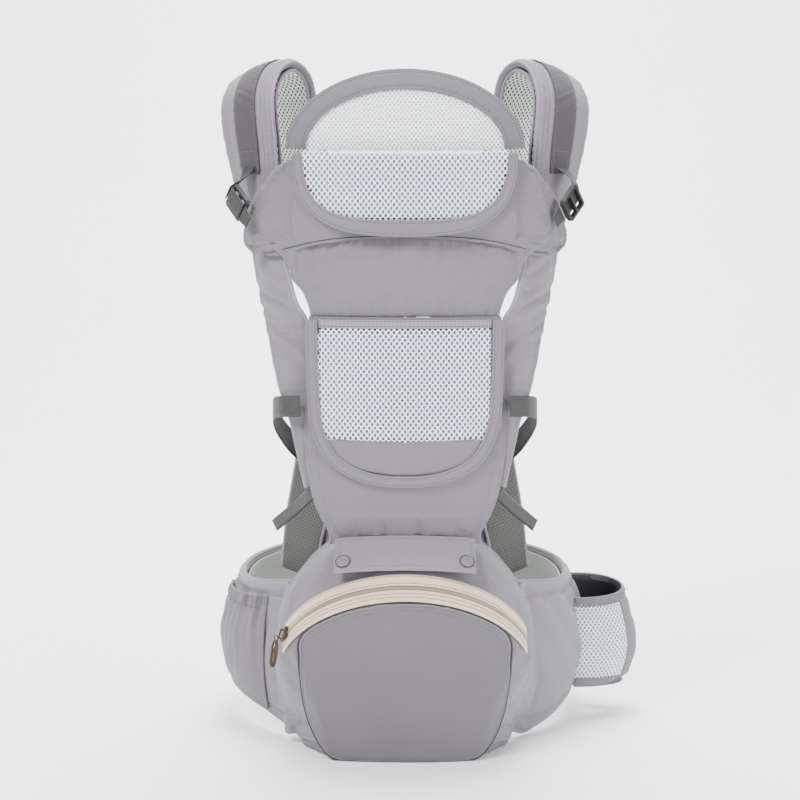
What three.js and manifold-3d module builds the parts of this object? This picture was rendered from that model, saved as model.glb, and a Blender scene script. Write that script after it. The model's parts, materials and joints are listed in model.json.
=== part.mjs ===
// Soft baby carrier with a hip seat, as an assembly of separate pieces.
//
// Frame: millimetres, +Z up. The origin is the centre of the hip seat's flat base. The front of the
// carrier faces -Y, and the wearer stands on the +Y side, inside the waist belt. "left" is -X.

import * as THREE from 'three';
import { mergeVertices } from 'three/addons/utils/BufferGeometryUtils.js';
import Module from 'manifold-3d';

const wasm = await Module();
wasm.setup();

// ---------------------------------------------------------------- driving dimensions (mm)

const GAP = 0.4; // clearance between pieces that rest on each other
const SKIN = 3; // covers and sewn fabric layers
const LONG = 400; // longer than any piece: depth of solids that cut others to shape
const LEFT = -1;
const RIGHT = 1;

// Hip seat. The zip lies on a circular arc whose axis leans back, so its slider turns about one line.
const SEAT = {
  height: 233,
  baseHalf: 56, // half-width of the base at its front edge
  baseBackHalf: 94, // and towards its back
  baseFront: -43,
  back: 40,
  noseReach: 63.4, // how far the nose stands in front of the base
  noseHeight: 173.9,
  topRadius: 260,
  crown: 0.0018, // how fast the front falls back towards the sides, per mm of x squared
  sideNormal: new THREE.Vector3(0.783, -0.447, -0.433), // lower sides, between base and front
};
const ZIP = {
  centre: new THREE.Vector3(0, -15.1, 87.7),
  radius: 125,
  lean: THREE.MathUtils.degToRad(39.7), // the axis rises this much towards the back
  halfAngle: THREE.MathUtils.degToRad(69.8),
  tape: 13, // width of one tape
  coil: 4.4,
  start: THREE.MathUtils.degToRad(-66), // where the slider rests
  pullTurn: THREE.MathUtils.degToRad(42), // the pull turns on its loop and hangs down
};
const FLAP = { half: 66, from: 58.5, to: 18.5, lift: 4.2, thick: 2.4, radius: 480 };
const SNAP = { x: 58.5, along: 29.5, cap: 6.5, stud: 4.5 };

// Body panel, pocket and head support. Heights are z, halves are half-widths in x.
const PANEL = { bottom: 226.5, top: 436, thick: 8 };
const CHEST = { thick: 6 };
const POCKET = { top: 434, hem: 8, binding: 9.5, windowLow: 320, thick: 1.8 };
const HEAD = { top: 588, wide: 152, thick: 12, front: -78, wrap: 38 };
const HOOD = { base: 590.5, rise: 73.5, half: 110, band: 15, y: -76, lean: 20 };

// Shoulder straps and webbing.
const STRAP = { thick: 11, lining: 2.2, liningShare: 0.93, webbingShare: 0.42 };
const WEBBING = { headrest: 18, narrow: 20, wide: 38, thick: 1.6 };

// Waist belt.
const BELT = { thick: 11, lining: 2 };
const BOTTLE = { x: 184, y: 142, halfDepth: 34, wall: 1.8, floor: 34, top: 138, rim: 9 };

// Buckles: where each one's mouth is, its width across the webbing, its housing's length and thickness.
const WAIST_BUCKLE = { y: 283, z: 127, width: 48, length: 46, thick: 13 };
const BACK_CLIP = { y: 100.2, z: 430, width: 26, length: 26, thick: 9 };
const TRI_GLIDE = { x: 52, width: 18, height: 48, wall: 3.5 };
const PLATE_SHARE = 0.45; // length of the plug's plate as a share of the housing

// ---------------------------------------------------------------- geometry helpers

const point = (x, y, z) => new THREE.Vector3(x, y, z);

/** A value that passes smoothly through [position, value] keys. */
function keyed(keys, at) {
  const last = keys.length - 1;
  if (at <= keys[0][0]) return keys[0][1];
  if (at >= keys[last][0]) return keys[last][1];
  const i = keys.findIndex((key) => at < key[0]) - 1;
  const slope = (k) => {
    const a = keys[Math.max(k - 1, 0)];
    const b = keys[Math.min(k + 1, last)];
    return (b[1] - a[1]) / (b[0] - a[0]);
  };
  const [x0, y0] = keys[i];
  const [x1, y1] = keys[i + 1];
  const h = x1 - x0;
  const t = (at - x0) / h;
  const t2 = t * t;
  const t3 = t2 * t;
  const leaving = slope(i) * h * (t3 - 2 * t2 + t);
  const arriving = slope(i + 1) * h * (t3 - t2);
  return y0 * (2 * t3 - 3 * t2 + 1) + leaving + y1 * (3 * t2 - 2 * t3) + arriving;
}

/** An indexed geometry with its faces turned outwards. */
function closedGeometry(vertices, triangles) {
  let volume = 0;
  const cross = new THREE.Vector3();
  for (const [a, b, c] of triangles) {
    volume += vertices[a].dot(cross.crossVectors(vertices[b], vertices[c]));
  }
  const faces = volume < 0 ? triangles.map(([a, b, c]) => [a, c, b]) : triangles;
  const geometry = new THREE.BufferGeometry();
  geometry.setFromPoints(vertices);
  geometry.setIndex(faces.flat());
  geometry.computeVertexNormals();
  return geometry;
}

/** A sheet of material of a given thickness about the middle surface mid(u, v), u and v from 0 to 1. */
function slab(mid, nu, nv, thickness) {
  const step = 1e-3;
  const top = [];
  const bottom = [];
  for (let i = 0; i <= nu; i++) {
    for (let j = 0; j <= nv; j++) {
      const u = i / nu;
      const v = j / nv;
      const du = mid(Math.min(u + step, 1), v).sub(mid(Math.max(u - step, 0), v));
      const dv = mid(u, Math.min(v + step, 1)).sub(mid(u, Math.max(v - step, 0)));
      const normal = du.cross(dv).normalize();
      top.push(mid(u, v).addScaledVector(normal, thickness / 2));
      bottom.push(mid(u, v).addScaledVector(normal, -thickness / 2));
    }
  }
  const vertices = [...top, ...bottom];
  const at = (i, j, side) => side * top.length + i * (nv + 1) + j;
  const triangles = [];
  const quad = (a, b, c, d) => triangles.push([a, b, c], [a, c, d]);
  for (let i = 0; i < nu; i++) {
    for (let j = 0; j < nv; j++) {
      quad(at(i, j, 0), at(i + 1, j, 0), at(i + 1, j + 1, 0), at(i, j + 1, 0));
      quad(at(i, j, 1), at(i, j + 1, 1), at(i + 1, j + 1, 1), at(i + 1, j, 1));
    }
    quad(at(i, 0, 0), at(i, 0, 1), at(i + 1, 0, 1), at(i + 1, 0, 0));
    quad(at(i, nv, 0), at(i + 1, nv, 0), at(i + 1, nv, 1), at(i, nv, 1));
  }
  for (let j = 0; j < nv; j++) {
    quad(at(0, j, 0), at(0, j + 1, 0), at(0, j + 1, 1), at(0, j, 1));
    quad(at(nu, j, 0), at(nu, j, 1), at(nu, j + 1, 1), at(nu, j + 1, 0));
  }
  return closedGeometry(vertices, triangles);
}

/** A solid skinned over rings of equal point counts, closed by a fan at each end. */
function loft(rings) {
  const count = rings[0].length;
  const vertices = rings.flat();
  const triangles = [];
  for (let i = 0; i + 1 < rings.length; i++) {
    for (let j = 0; j < count; j++) {
      const a = i * count + j;
      const b = i * count + ((j + 1) % count);
      triangles.push([a, b, b + count], [a, b + count, a + count]);
    }
  }
  const fan = (ring, flip) => {
    const centre = vertices.length;
    vertices.push(rings[ring].reduce((sum, p) => sum.add(p), new THREE.Vector3()).divideScalar(count));
    for (let j = 0; j < count; j++) {
      const a = ring * count + j;
      const b = ring * count + ((j + 1) % count);
      triangles.push(flip ? [centre, b, a] : [centre, a, b]);
    }
  };
  fan(0, true);
  fan(rings.length - 1, false);
  return closedGeometry(vertices, triangles);
}

/** A manifold-3d solid made from a three.js geometry. */
function solid(geometry) {
  const plain = geometry.clone();
  plain.deleteAttribute('normal');
  plain.deleteAttribute('uv');
  const merged = mergeVertices(plain, 1e-3);
  const mesh = new wasm.Mesh({
    numProp: 3,
    vertProperties: new Float32Array(merged.attributes.position.array),
    triVerts: new Uint32Array(merged.index.array),
  });
  return new wasm.Manifold(mesh);
}

/** A three.js geometry made from a manifold-3d solid. */
function geometryOf(manifold) {
  const mesh = manifold.getMesh();
  const geometry = new THREE.BufferGeometry();
  geometry.setAttribute('position', new THREE.BufferAttribute(new Float32Array(mesh.vertProperties), 3));
  geometry.setIndex(new THREE.BufferAttribute(new Uint32Array(mesh.triVerts), 1));
  geometry.computeVertexNormals();
  return geometry;
}

/** A prism of a 2-D shape whose x, y and depth run along three given directions. */
function prism(shape, depth, xAxis, yAxis, zAxis, origin) {
  const geometry = new THREE.ExtrudeGeometry(shape, { depth, bevelEnabled: false, curveSegments: 3 });
  geometry.applyMatrix4(new THREE.Matrix4().makeBasis(xAxis, yAxis, zAxis).setPosition(origin));
  return geometry;
}

const X = point(1, 0, 0);
const Y = point(0, 1, 0);
const Z = point(0, 0, 1);
const BACKWARD = point(0, -1, 0);

/** A box given by its two corners. */
function block(low, high) {
  const size = new THREE.Vector3().subVectors(high, low);
  const geometry = new THREE.BoxGeometry(size.x, size.y, size.z);
  geometry.translate((low.x + high.x) / 2, (low.y + high.y) / 2, (low.z + high.z) / 2);
  return geometry;
}

/** A shape outline through [x, y] points. */
const outline = (points) => new THREE.Shape(points.map(([x, y]) => new THREE.Vector2(x, y)));

/** An outline that is the same on both sides of x = 0, from its right half listed bottom to top. */
function mirrored(half) {
  const left = half.filter(([x]) => x > 0).map(([x, y]) => [-x, y]);
  return outline([...half, ...left.reverse()]);
}

/** The points of a right half, listed down to x = 0, as a row from the left side to the right. */
const bothSides = (half) => [...half.map(([x, z]) => [-x, z]), ...half.slice(0, -1).reverse()];

/** A rectangle with rounded corners, as a path for a shape or a hole. */
function roundedRectangle(path, x, y, width, height, radius) {
  path.moveTo(x + radius, y);
  path.lineTo(x + width - radius, y);
  path.absarc(x + width - radius, y + radius, radius, -Math.PI / 2, 0);
  path.lineTo(x + width, y + height - radius);
  path.absarc(x + width - radius, y + height - radius, radius, 0, Math.PI / 2);
  path.lineTo(x + radius, y + height);
  path.absarc(x + radius, y + height - radius, radius, Math.PI / 2, Math.PI);
  path.lineTo(x, y + radius);
  path.absarc(x + radius, y + radius, radius, Math.PI, Math.PI * 1.5);
  return path;
}

// ---------------------------------------------------------------- materials

const finish = (color, roughness, metalness = 0) =>
  new THREE.MeshStandardMaterial({ color, roughness, metalness });
const FABRIC = finish(0xa8a6aa, 0.9);
const FABRIC_DARK = finish(0x949297, 0.9);
const FABRIC_STRAP = finish(0xafacb0, 0.9);
const MESH_WHITE = finish(0xebf0f2, 0.8);
const MESH_LINING = finish(0xc9d0cb, 0.85);
const WEBBING_GREY = finish(0x7d7b7e, 0.8);
const TAPE_CREAM = finish(0xded6cd, 0.85);
const COIL = finish(0xbeaaa0, 0.5);
const BRASS = finish(0x8a7550, 0.35, 1);
const PLASTIC = finish(0x4a494b, 0.5);
const SNAP_PLASTIC = finish(0x9d9b9f, 0.45);
const FOAM = finish(0xe6e4df, 0.9);

const carrier = new THREE.Group();

/** Adds one named piece to the carrier. */
function piece(name, geometry, material) {
  const mesh = new THREE.Mesh(geometry, material);
  mesh.name = name;
  carrier.add(mesh);
}

/** Moves a point of the right side to the given side. */
const onSide = (p, side) => p.setX(p.x * side);

const sideName = (side) => (side === LEFT ? 'left' : 'right');

// ---------------------------------------------------------------- hip seat

const zipAxis = point(0, Math.cos(ZIP.lean), Math.sin(ZIP.lean));
const zipUp = point(0, -Math.sin(ZIP.lean), Math.cos(ZIP.lean));

/** A point near the zip: angle round its arc, distance along its axis, and radius from it. */
function zipPoint(angle, along, radius) {
  return ZIP.centre
    .clone()
    .addScaledVector(zipAxis, along)
    .addScaledVector(zipUp, radius * Math.cos(angle))
    .addScaledVector(X, radius * Math.sin(angle));
}

/** Half of the seat's front outline, drawn in by inset. */
function seatHalfOutline(inset) {
  const width = (127 - inset) / 127;
  const rise = (SEAT.height - 2 * inset) / SEAT.height;
  const half = [
    [SEAT.baseBackHalf, 0],
    [107, 9],
    [118, 26],
    [125, 50],
    [127, 85],
    [124, 126],
    [112, 158],
    [88, 190],
    [57, 214],
    [26, 229],
    [0, SEAT.height],
  ];
  return half.map(([x, z]) => [x * width, z * rise + inset]);
}

/** The seat's outer form, drawn in by inset, as a solid. */
function seatForm(inset) {
  const backFace = point(0, SEAT.back - inset, 0);
  const front = solid(prism(mirrored(seatHalfOutline(inset)), LONG, X, Z, BACKWARD, backFace));
  const reach = 140; // a little more than the seat's half-width
  const crownPoints = [];
  for (let x = -reach; x <= reach; x += 20) {
    crownPoints.push([x, SEAT.baseFront + inset + SEAT.crown * x * x]);
  }
  const plan = outline([...crownPoints, [reach, LONG], [-reach, LONG]]);
  const crown = new THREE.ExtrudeGeometry(plan, { depth: LONG, bevelEnabled: false });
  const nose = new THREE.Matrix4().makeShear(0, 0, 0, 0, 0, -SEAT.noseReach / SEAT.noseHeight);
  crown.applyMatrix4(nose);
  const barrelRadius = ZIP.radius - 1.6 - inset;
  const barrel = new THREE.CylinderGeometry(barrelRadius, barrelRadius, LONG, 72);
  barrel.rotateX(ZIP.lean);
  barrel.translate(ZIP.centre.x, ZIP.centre.y, ZIP.centre.z);
  const top = new THREE.CylinderGeometry(SEAT.topRadius, SEAT.topRadius, LONG, 96);
  top.rotateZ(Math.PI / 2);
  top.translate(0, 4, SEAT.height - inset - SEAT.topRadius);
  let form = front.intersect(solid(crown)).intersect(solid(barrel)).intersect(solid(top));
  for (const side of [LEFT, RIGHT]) {
    const normal = onSide(SEAT.sideNormal.clone(), side);
    const edge = point(side * SEAT.baseHalf, SEAT.baseFront, 0).addScaledVector(normal, -inset);
    form = form.trimByPlane(normal.clone().negate().toArray(), -normal.dot(edge));
  }
  return form;
}

/** The front panel's outline, under the zip's lower tape. */
function frontPanelOutline(inset) {
  const side = [
    [54.5, 0.6],
    [71, 17.5],
    [87, 47],
    [96.5, 84],
  ];
  const arc = [];
  for (let degrees = 55; degrees > 0; degrees -= 11) {
    const angle = THREE.MathUtils.degToRad(degrees);
    arc.push([(ZIP.radius - 1) * Math.sin(angle), 75.5 + 96.1 * Math.cos(angle)]);
  }
  const half = [...side, ...arc, [0, 171.6]];
  return mirrored(half.map(([x, z]) => [(x * (105 - inset)) / 105, (z * (172 - 2 * inset)) / 172 + inset]));
}

function buildSeat() {
  const hollow = seatForm(SKIN + GAP);
  const frontWindow = solid(prism(frontPanelOutline(10), LONG, X, Z, BACKWARD, point(0, -20, 0)));
  piece('seat_cover', geometryOf(seatForm(0).subtract(hollow).subtract(frontWindow)), FABRIC);

  const wall = 15;
  const binShape = mirrored(seatHalfOutline(wall).filter(([, z]) => z < 165).concat([[0, 168]]));
  const bin = solid(prism(binShape, LONG, X, Z, BACKWARD, point(0, SEAT.back - SKIN - wall, 0)));
  piece('seat_core', geometryOf(seatForm(SKIN + 2 * GAP).subtract(bin)), FOAM);

  const frontArea = solid(prism(frontPanelOutline(0), LONG, X, Z, BACKWARD, point(0, -20, 0)));
  const raised = seatForm(-SKIN).intersect(frontArea);
  piece('seat_front_panel', geometryOf(raised.subtract(seatForm(-GAP))), FABRIC_DARK);

  const backPad = (u, v) => {
    const x = (u - 0.5) * 226;
    const low = keyed([[0, 8], [60, 12], [118, 30]], Math.abs(x));
    const high = keyed([[0, 196], [60, 186], [118, 156]], Math.abs(x));
    return point(x, SEAT.back + 7, low + (high - low) * v);
  };
  piece('seat_back_pad', slab(backPad, 10, 6, 11), MESH_LINING);
}

/** A band of rectangular section that follows the zip's arc. */
function zipBand(alongLow, alongHigh, radiusLow, radiusHigh, segments) {
  const rings = [];
  for (let i = 0; i <= segments; i++) {
    const angle = -ZIP.halfAngle + (2 * ZIP.halfAngle * i) / segments;
    rings.push([
      zipPoint(angle, alongLow, radiusLow),
      zipPoint(angle, alongHigh, radiusLow),
      zipPoint(angle, alongHigh, radiusHigh),
      zipPoint(angle, alongLow, radiusHigh),
    ]);
  }
  return loft(rings);
}

function buildZip() {
  const edge = ZIP.coil / 2;
  const inner = ZIP.radius - 1.1;
  piece('zip_tape_lower', zipBand(-edge - GAP - ZIP.tape, -edge - GAP, inner, ZIP.radius, 36), TAPE_CREAM);
  piece('zip_tape_upper', zipBand(edge + GAP, edge + GAP + ZIP.tape, inner, ZIP.radius, 36), TAPE_CREAM);
  piece('zip_coil', zipBand(-edge, edge, inner, ZIP.radius + 0.9, 36), COIL);

  // The slider's own axes: x along the zip, y across it, z away from the seat.
  const slider = new THREE.Matrix4().makeBasis(
    zipPoint(ZIP.start + Math.PI / 2, 0, 1).sub(ZIP.centre),
    zipAxis,
    zipPoint(ZIP.start, 0, 1).sub(ZIP.centre),
  );
  slider.setPosition(zipPoint(ZIP.start, 0, ZIP.radius));
  const place = (geometry) => geometry.applyMatrix4(slider);

  const nose = new THREE.Shape();
  nose.moveTo(-7, -3.2);
  nose.lineTo(0, -5.4);
  nose.lineTo(7, -5.4);
  nose.lineTo(7, 5.4);
  nose.lineTo(0, 5.4);
  nose.lineTo(-7, 3.2);
  const body = solid(prism(nose, 4, X, Y, Z, point(0, 0, 0.4)));
  const channel = solid(block(point(-10, -edge - 0.6, -2), point(10, edge + 0.6, 1.7)));
  const bridge = solid(block(point(-4.9, -1, 4), point(4.9, 1, 7.4)).rotateZ(ZIP.pullTurn));
  const eye = solid(block(point(-3.5, -3, 4.4), point(3.5, 3, 5.9)).rotateZ(ZIP.pullTurn));
  piece('zip_slider', place(geometryOf(body.subtract(channel).add(bridge).subtract(eye))), BRASS);

  // The pull hangs from the bridge: a loop round the bridge's beam, and a tapered tab below it.
  const pull = new THREE.Shape();
  pull.moveTo(0.8, -2.2);
  pull.lineTo(0.8, 2.2);
  pull.lineTo(-6.8, 2.2);
  pull.lineTo(-9, 3);
  pull.lineTo(-26, 2.2);
  pull.lineTo(-27.5, 0);
  pull.lineTo(-26, -2.2);
  pull.lineTo(-9, -3);
  pull.lineTo(-6.8, -2.2);
  const loop = new THREE.Path();
  roundedRectangle(loop, -6.2, -1.4, 6, 2.8, 0.5);
  pull.holes.push(loop);
  const tab = new THREE.ExtrudeGeometry(pull, { depth: 1.1, bevelEnabled: false, curveSegments: 2 });
  tab.translate(0, 0, 4.6);
  tab.rotateZ(ZIP.pullTurn);
  piece('zip_pull', place(tab), BRASS);
}

function buildFlap() {
  const flap = (u, v) => {
    const x = (2 * u - 1) * FLAP.half;
    const drop = (x * x) / (2 * FLAP.radius);
    const centre = zipPoint(0, FLAP.from + (FLAP.to - FLAP.from) * v, ZIP.radius + FLAP.lift - drop);
    return centre.setX(x);
  };
  piece('snap_flap', slab(flap, 12, 3, FLAP.thick), FABRIC);

  const hiddenZip = (u, v) => {
    const x = (2 * u - 1) * 60;
    const drop = ZIP.radius - Math.sqrt(ZIP.radius ** 2 - x * x);
    return zipPoint(0, 44 + 12 * v, ZIP.radius + 0.4 - drop).setX(x);
  };
  piece('panel_seat_zip', slab(hiddenZip, 12, 1, 1.2), COIL);

  for (const side of [LEFT, RIGHT]) {
    const drop = (SNAP.x * SNAP.x) / (2 * FLAP.radius);
    const base = zipPoint(0, SNAP.along, ZIP.radius + FLAP.lift - drop).setX(side * SNAP.x);
    const slope = SNAP.x / FLAP.radius;
    const normal = zipUp.clone().addScaledVector(X, side * slope).normalize();
    const turn = new THREE.Quaternion().setFromUnitVectors(Y, normal);
    const cap = new THREE.CylinderGeometry(SNAP.cap * 0.82, SNAP.cap, 1.8, 24);
    cap.translate(0, FLAP.thick / 2 + GAP + 0.9, 0);
    cap.applyQuaternion(turn).translate(base.x, base.y, base.z);
    piece(`snap_cap_${sideName(side)}`, cap, SNAP_PLASTIC);
    const stud = new THREE.CylinderGeometry(SNAP.stud * 0.7, SNAP.stud, 2.2, 20);
    stud.translate(0, -FLAP.thick / 2 - GAP - 1.1, 0);
    stud.applyQuaternion(turn).translate(base.x, base.y, base.z);
    piece(`snap_stud_${sideName(side)}`, stud, SNAP_PLASTIC);
  }
}

// ---------------------------------------------------------------- body panel and pocket

const panelHalf = (z) => keyed([[226, 71], [241, 78], [265, 86], [301, 92], [340, 93], [437, 88]], z);
const panelY = (x, z) =>
  keyed([[226, -46], [262, -66], [310, -73], [430, -74], [510, -71]], z) + 12 * (Math.abs(x) / 100) ** 2.4;

/** The front of the pocket: clear of the panel's face and slightly swollen. */
function pocketY(x, z) {
  const swell = 4 * Math.cos((Math.PI * x) / 190) * Math.sin((Math.PI * (z - 270)) / 170);
  return panelY(x, z) - PANEL.thick / 2 - 2.4 - Math.max(swell, 0);
}

/** The lower edge of the pocket, and of the border inside it. */
const pocketLow = (x, inset) =>
  inset + keyed([[0, 276], [40, 281], [68, 297], [82, 318], [92, 372]], Math.abs(x));

function buildPanel() {
  const lower = (u, v) => {
    const z = PANEL.bottom + (PANEL.top - PANEL.bottom) * v;
    const x = (2 * u - 1) * panelHalf(z);
    return point(x, panelY(x, z), z);
  };
  piece('lower_panel', slab(lower, 10, 10, PANEL.thick), FABRIC);

  const chest = (u, v) => {
    const edge = keyed([[0, 86], [0.35, 93], [0.6, 104], [1, 106]], v);
    const x = (2 * u - 1) * edge;
    const z = PANEL.top + GAP + (headLow(x) - 1 - PANEL.top - GAP) * v;
    return point(x, panelY(x, z), z);
  };
  piece('chest_panel', slab(chest, 10, 5, CHEST.thick), FABRIC);
}

function buildPocket() {
  const place = (x, z) => point(x, pocketY(x, z), z);
  const layerUp = point(0, -POCKET.thick - GAP - 0.5, 0);
  const inner = 92 - POCKET.binding;
  const windowTop = POCKET.top - POCKET.hem - GAP;
  const windowLow = (x) => POCKET.windowLow - 3 * (1 - (x / inner) ** 2);

  const mesh = (u, v) => {
    const x = (2 * u - 1) * (inner - 1 - GAP);
    const low = windowLow(x);
    return place(x, low + (windowTop - low) * v);
  };
  piece('window_mesh', slab(mesh, 8, 5, POCKET.thick), MESH_WHITE);

  const below = (u, v) => {
    const x = (2 * u - 1) * 72;
    const low = pocketLow(x, POCKET.binding + 2);
    return place(x, low + (windowLow(x) - GAP - low) * v);
  };
  piece('pocket_lower', slab(below, 8, 3, POCKET.thick), FABRIC);

  const hem = (u, v) => place((2 * u - 1) * (inner - 1), windowTop + GAP + POCKET.hem * v);
  piece('pocket_hem', slab(hem, 8, 1, POCKET.thick), FABRIC);

  // The binding is one U-shaped band: down one side, round the bottom and up the other side.
  const edge = bothSides([[92, 434], [91, 378], [87, 331], [70, 299], [40, 282], [0, 277]]);
  const rim = new THREE.CatmullRomCurve3(edge.map(([x, z]) => point(x, 0, z)));
  const binding = (u, v) => {
    const p = rim.getPoint(u);
    p.addScaledVector(rim.getTangent(u).cross(Y), POCKET.binding * v);
    return place(p.x, p.z).add(layerUp);
  };
  piece('pocket_binding', slab(binding, 28, 1, POCKET.thick + 0.8), FABRIC);
}

// ---------------------------------------------------------------- head support and hood

const headLow = (x) => keyed([[0, 508], [71, 503], [110, 493], [140, 484]], Math.abs(x));
const headHigh = (x) =>
  keyed([[0, HEAD.top], [100, HEAD.top - 1], [112, HEAD.top - 4], [134, 572], [152, 556]], Math.abs(x));
const headY = (x) => HEAD.front + HEAD.wrap * (Math.abs(x) / HEAD.wide) ** 3.56;
const headHalf = (v) =>
  keyed([[0, 138], [0.16, 149], [0.3, HEAD.wide], [0.5, 149], [0.7, 141], [0.86, 133], [1, 112]], v);

function buildHeadSupport() {
  const pad = (u, v) => {
    const x = (2 * u - 1) * headHalf(v);
    const low = headLow(x);
    return point(x, headY(x), low + (headHigh(x) - low) * v);
  };
  piece('head_support', slab(pad, 16, 8, HEAD.thick), FABRIC);

  const face = (x, z) => point(x, headY(x) - HEAD.thick / 2 - 1.8, z);
  const layerUp = point(0, -POCKET.thick - GAP - 0.5, 0);
  const windowHalf = (v) => keyed([[0, 54], [0.1, 72], [0.3, 82], [0.65, 91], [1, 93]], v);
  const mesh = (u, v) => face((2 * u - 1) * windowHalf(v), 529 + (HEAD.top - 529) * v);
  piece('head_window_mesh', slab(mesh, 8, 6, POCKET.thick), MESH_WHITE);

  const edge = bothSides([[103, 588], [100, 559], [88, 536], [60, 519], [0, 512.5]]);
  const rim = new THREE.CatmullRomCurve3(edge.map(([x, z]) => point(x, 0, z)));
  const width = (u) => keyed([[0, 7], [0.3, 10], [0.5, 14], [0.7, 10], [1, 7]], u);
  const binding = (u, v) => {
    const p = rim.getPoint(u);
    p.addScaledVector(rim.getTangent(u).cross(Y), width(u) * v);
    return face(p.x, p.z).add(layerUp);
  };
  piece('head_window_binding', slab(binding, 24, 1, POCKET.thick + 0.8), FABRIC);
}

/** The hood's surface: it bows back towards its sides and leans back towards its top. */
const hoodY = (x, z) => HOOD.y + 0.0011 * x * x + HOOD.lean * ((z - HOOD.base) / HOOD.rise) ** 2;

function buildHood() {
  const half = HOOD.half - HOOD.band;
  const rise = HOOD.rise - HOOD.band;
  const mesh = (u, v) => {
    const x = (2 * u - 1) * half * 0.97;
    const z = HOOD.base + (rise * Math.sqrt(1 - (x / half) ** 2) - 0.5) * v;
    return point(x, hoodY(x, z), z);
  };
  piece('hood_mesh', slab(mesh, 14, 4, 1.6), MESH_WHITE);

  // The band round the mesh lies in front of the mesh's edge, on an arch between two half ellipses.
  const foot = 0.02;
  const band = (u, v) => {
    const angle = foot + (Math.PI - 2 * foot) * u;
    const x = -(HOOD.half - (HOOD.band + 2) * v) * Math.cos(angle);
    const z = HOOD.base + (HOOD.rise - (HOOD.band + 2) * v) * Math.sin(angle);
    return point(x, hoodY(x, z) - 2.8, z);
  };
  piece('hood_band', slab(band, 22, 1, 3), FABRIC_DARK);
}

// ---------------------------------------------------------------- shoulder straps

// Stations along one strap, from the side of the panel, over the shoulder and down the wearer's back:
// [x, y, z, width, and the direction across the strap towards its inner edge].
const STATIONS = [
  [102, -62, 340, 12, -0.95, -0.3, 0],
  [108, -58, 372, 24, -0.85, -0.52, 0],
  [111, -50, 409, 42, -0.72, -0.69, 0],
  [117, -41, 440, 52, -0.6, -0.8, 0],
  [125, -29, 470, 58, -0.5, -0.86, 0],
  [131, -18, 505, 62, -0.5, -0.86, 0],
  [139, -15, 545, 65.5, -0.6, -0.8, 0],
  [145, -16, 590, 65.5, -0.72, -0.68, 0.1],
  [149, -12, 633, 65.5, -0.75, -0.62, 0.2],
  [143, 2, 655, 65.5, -0.75, -0.58, 0.25],
  [131, 18, 663, 65.5, -0.75, -0.58, 0.25],
  [118, 36, 652, 65.5, -0.75, -0.6, 0.2],
  [108, 50, 616, 65.5, -0.75, -0.65, 0.1],
  [95, 66, 556, 65.5, -0.8, -0.6, 0],
  [72, 84, 490, 65.5, -0.95, -0.3, 0],
  [61, 92, 430, 65.5, -1, 0, 0],
  [62, 97, 370, 65.5, -0.97, -0.2, 0],
  [78, 98, 290, 65.5, -0.8, -0.6, 0],
  [95, 98, 210, 65.5, -0.66, -0.75, 0],
  [103, 97, 156, 60, -0.62, -0.78, 0],
];
const smoothPath = (points) => new THREE.CatmullRomCurve3(points, false, 'centripetal');
const stationAt = (index) => index / (STATIONS.length - 1);
const strapPath = smoothPath(STATIONS.map(([x, y, z]) => point(x, y, z)));
const strapValue = (t, column) => keyed(STATIONS.map((row, i) => [stationAt(i), row[column]]), t);

/** The right strap's place at t along it, across it (-0.5 outer edge, 0.5 inner) and lift off its middle. */
function strapPoint(t, across, lift) {
  const along = strapPath.getTangent(t);
  const inward = point(strapValue(t, 4), strapValue(t, 5), strapValue(t, 6));
  inward.addScaledVector(along, -inward.dot(along)).normalize();
  const outward = along.clone().cross(inward);
  const place = strapPath.getPoint(t).addScaledVector(inward, across * strapValue(t, 3));
  return place.addScaledVector(outward, lift);
}

/** A layer of a strap between two stations, over a share of its width. */
function strapLayer(side, from, to, share, lift, thickness, segments) {
  const mid = (u, v) => onSide(strapPoint(from + (to - from) * u, (v - 0.5) * share, lift), side);
  return slab(mid, segments, 3, thickness);
}

function buildStrap(side) {
  const name = sideName(side);
  piece(`shoulder_strap_${name}`, strapLayer(side, 0, 1, 1, 0, STRAP.thick, 38), FABRIC_STRAP);
  const liningLift = -(STRAP.thick + STRAP.lining) / 2 - 2 * GAP;
  piece(
    `strap_lining_${name}`,
    strapLayer(side, stationAt(4), stationAt(19), STRAP.liningShare, liningLift, STRAP.lining, 30),
    MESH_LINING,
  );
  const webbingLift = (STRAP.thick + WEBBING.thick) / 2 + GAP;
  piece(
    `strap_webbing_${name}`,
    strapLayer(side, stationAt(6.5), stationAt(13), STRAP.webbingShare, webbingLift, WEBBING.thick, 13),
    WEBBING_GREY,
  );
}

/** A ladder-lock: a frame with two slots, its long side along x, lying in the xz plane. */
function ladderLock(width, height, thick) {
  const frame = new THREE.Shape();
  roundedRectangle(frame, -width / 2, -height / 2, width, height, 3);
  for (const low of [-height / 2 + 3, 1.2]) {
    const slot = new THREE.Path();
    roundedRectangle(slot, -width / 2 + 3, low, width - 6, height / 2 - 4.2, 1.2);
    frame.holes.push(slot);
  }
  return prism(frame, thick, X, Z, BACKWARD, point(0, thick / 2, 0));
}

/** A ribbon of webbing along a smooth path, its width turned along a given direction. */
function ribbon(points, across, width, thickness, segments) {
  const path = smoothPath(points);
  const mid = (u, v) => {
    const along = path.getTangent(u);
    const side = across.clone().addScaledVector(along, -across.dot(along)).normalize();
    return path.getPoint(u).addScaledVector(side, (v - 0.5) * width);
  };
  return slab(mid, segments, 1, thickness);
}

/** Turns a geometry made at the origin and moves it to its place on the given side. */
function placed(geometry, side, position, yaw, tilt, roll = 0) {
  geometry.rotateX(tilt);
  geometry.rotateY(roll * side);
  geometry.rotateZ(yaw * side);
  geometry.translate(position.x * side, position.y, position.z);
  return geometry;
}

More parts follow.
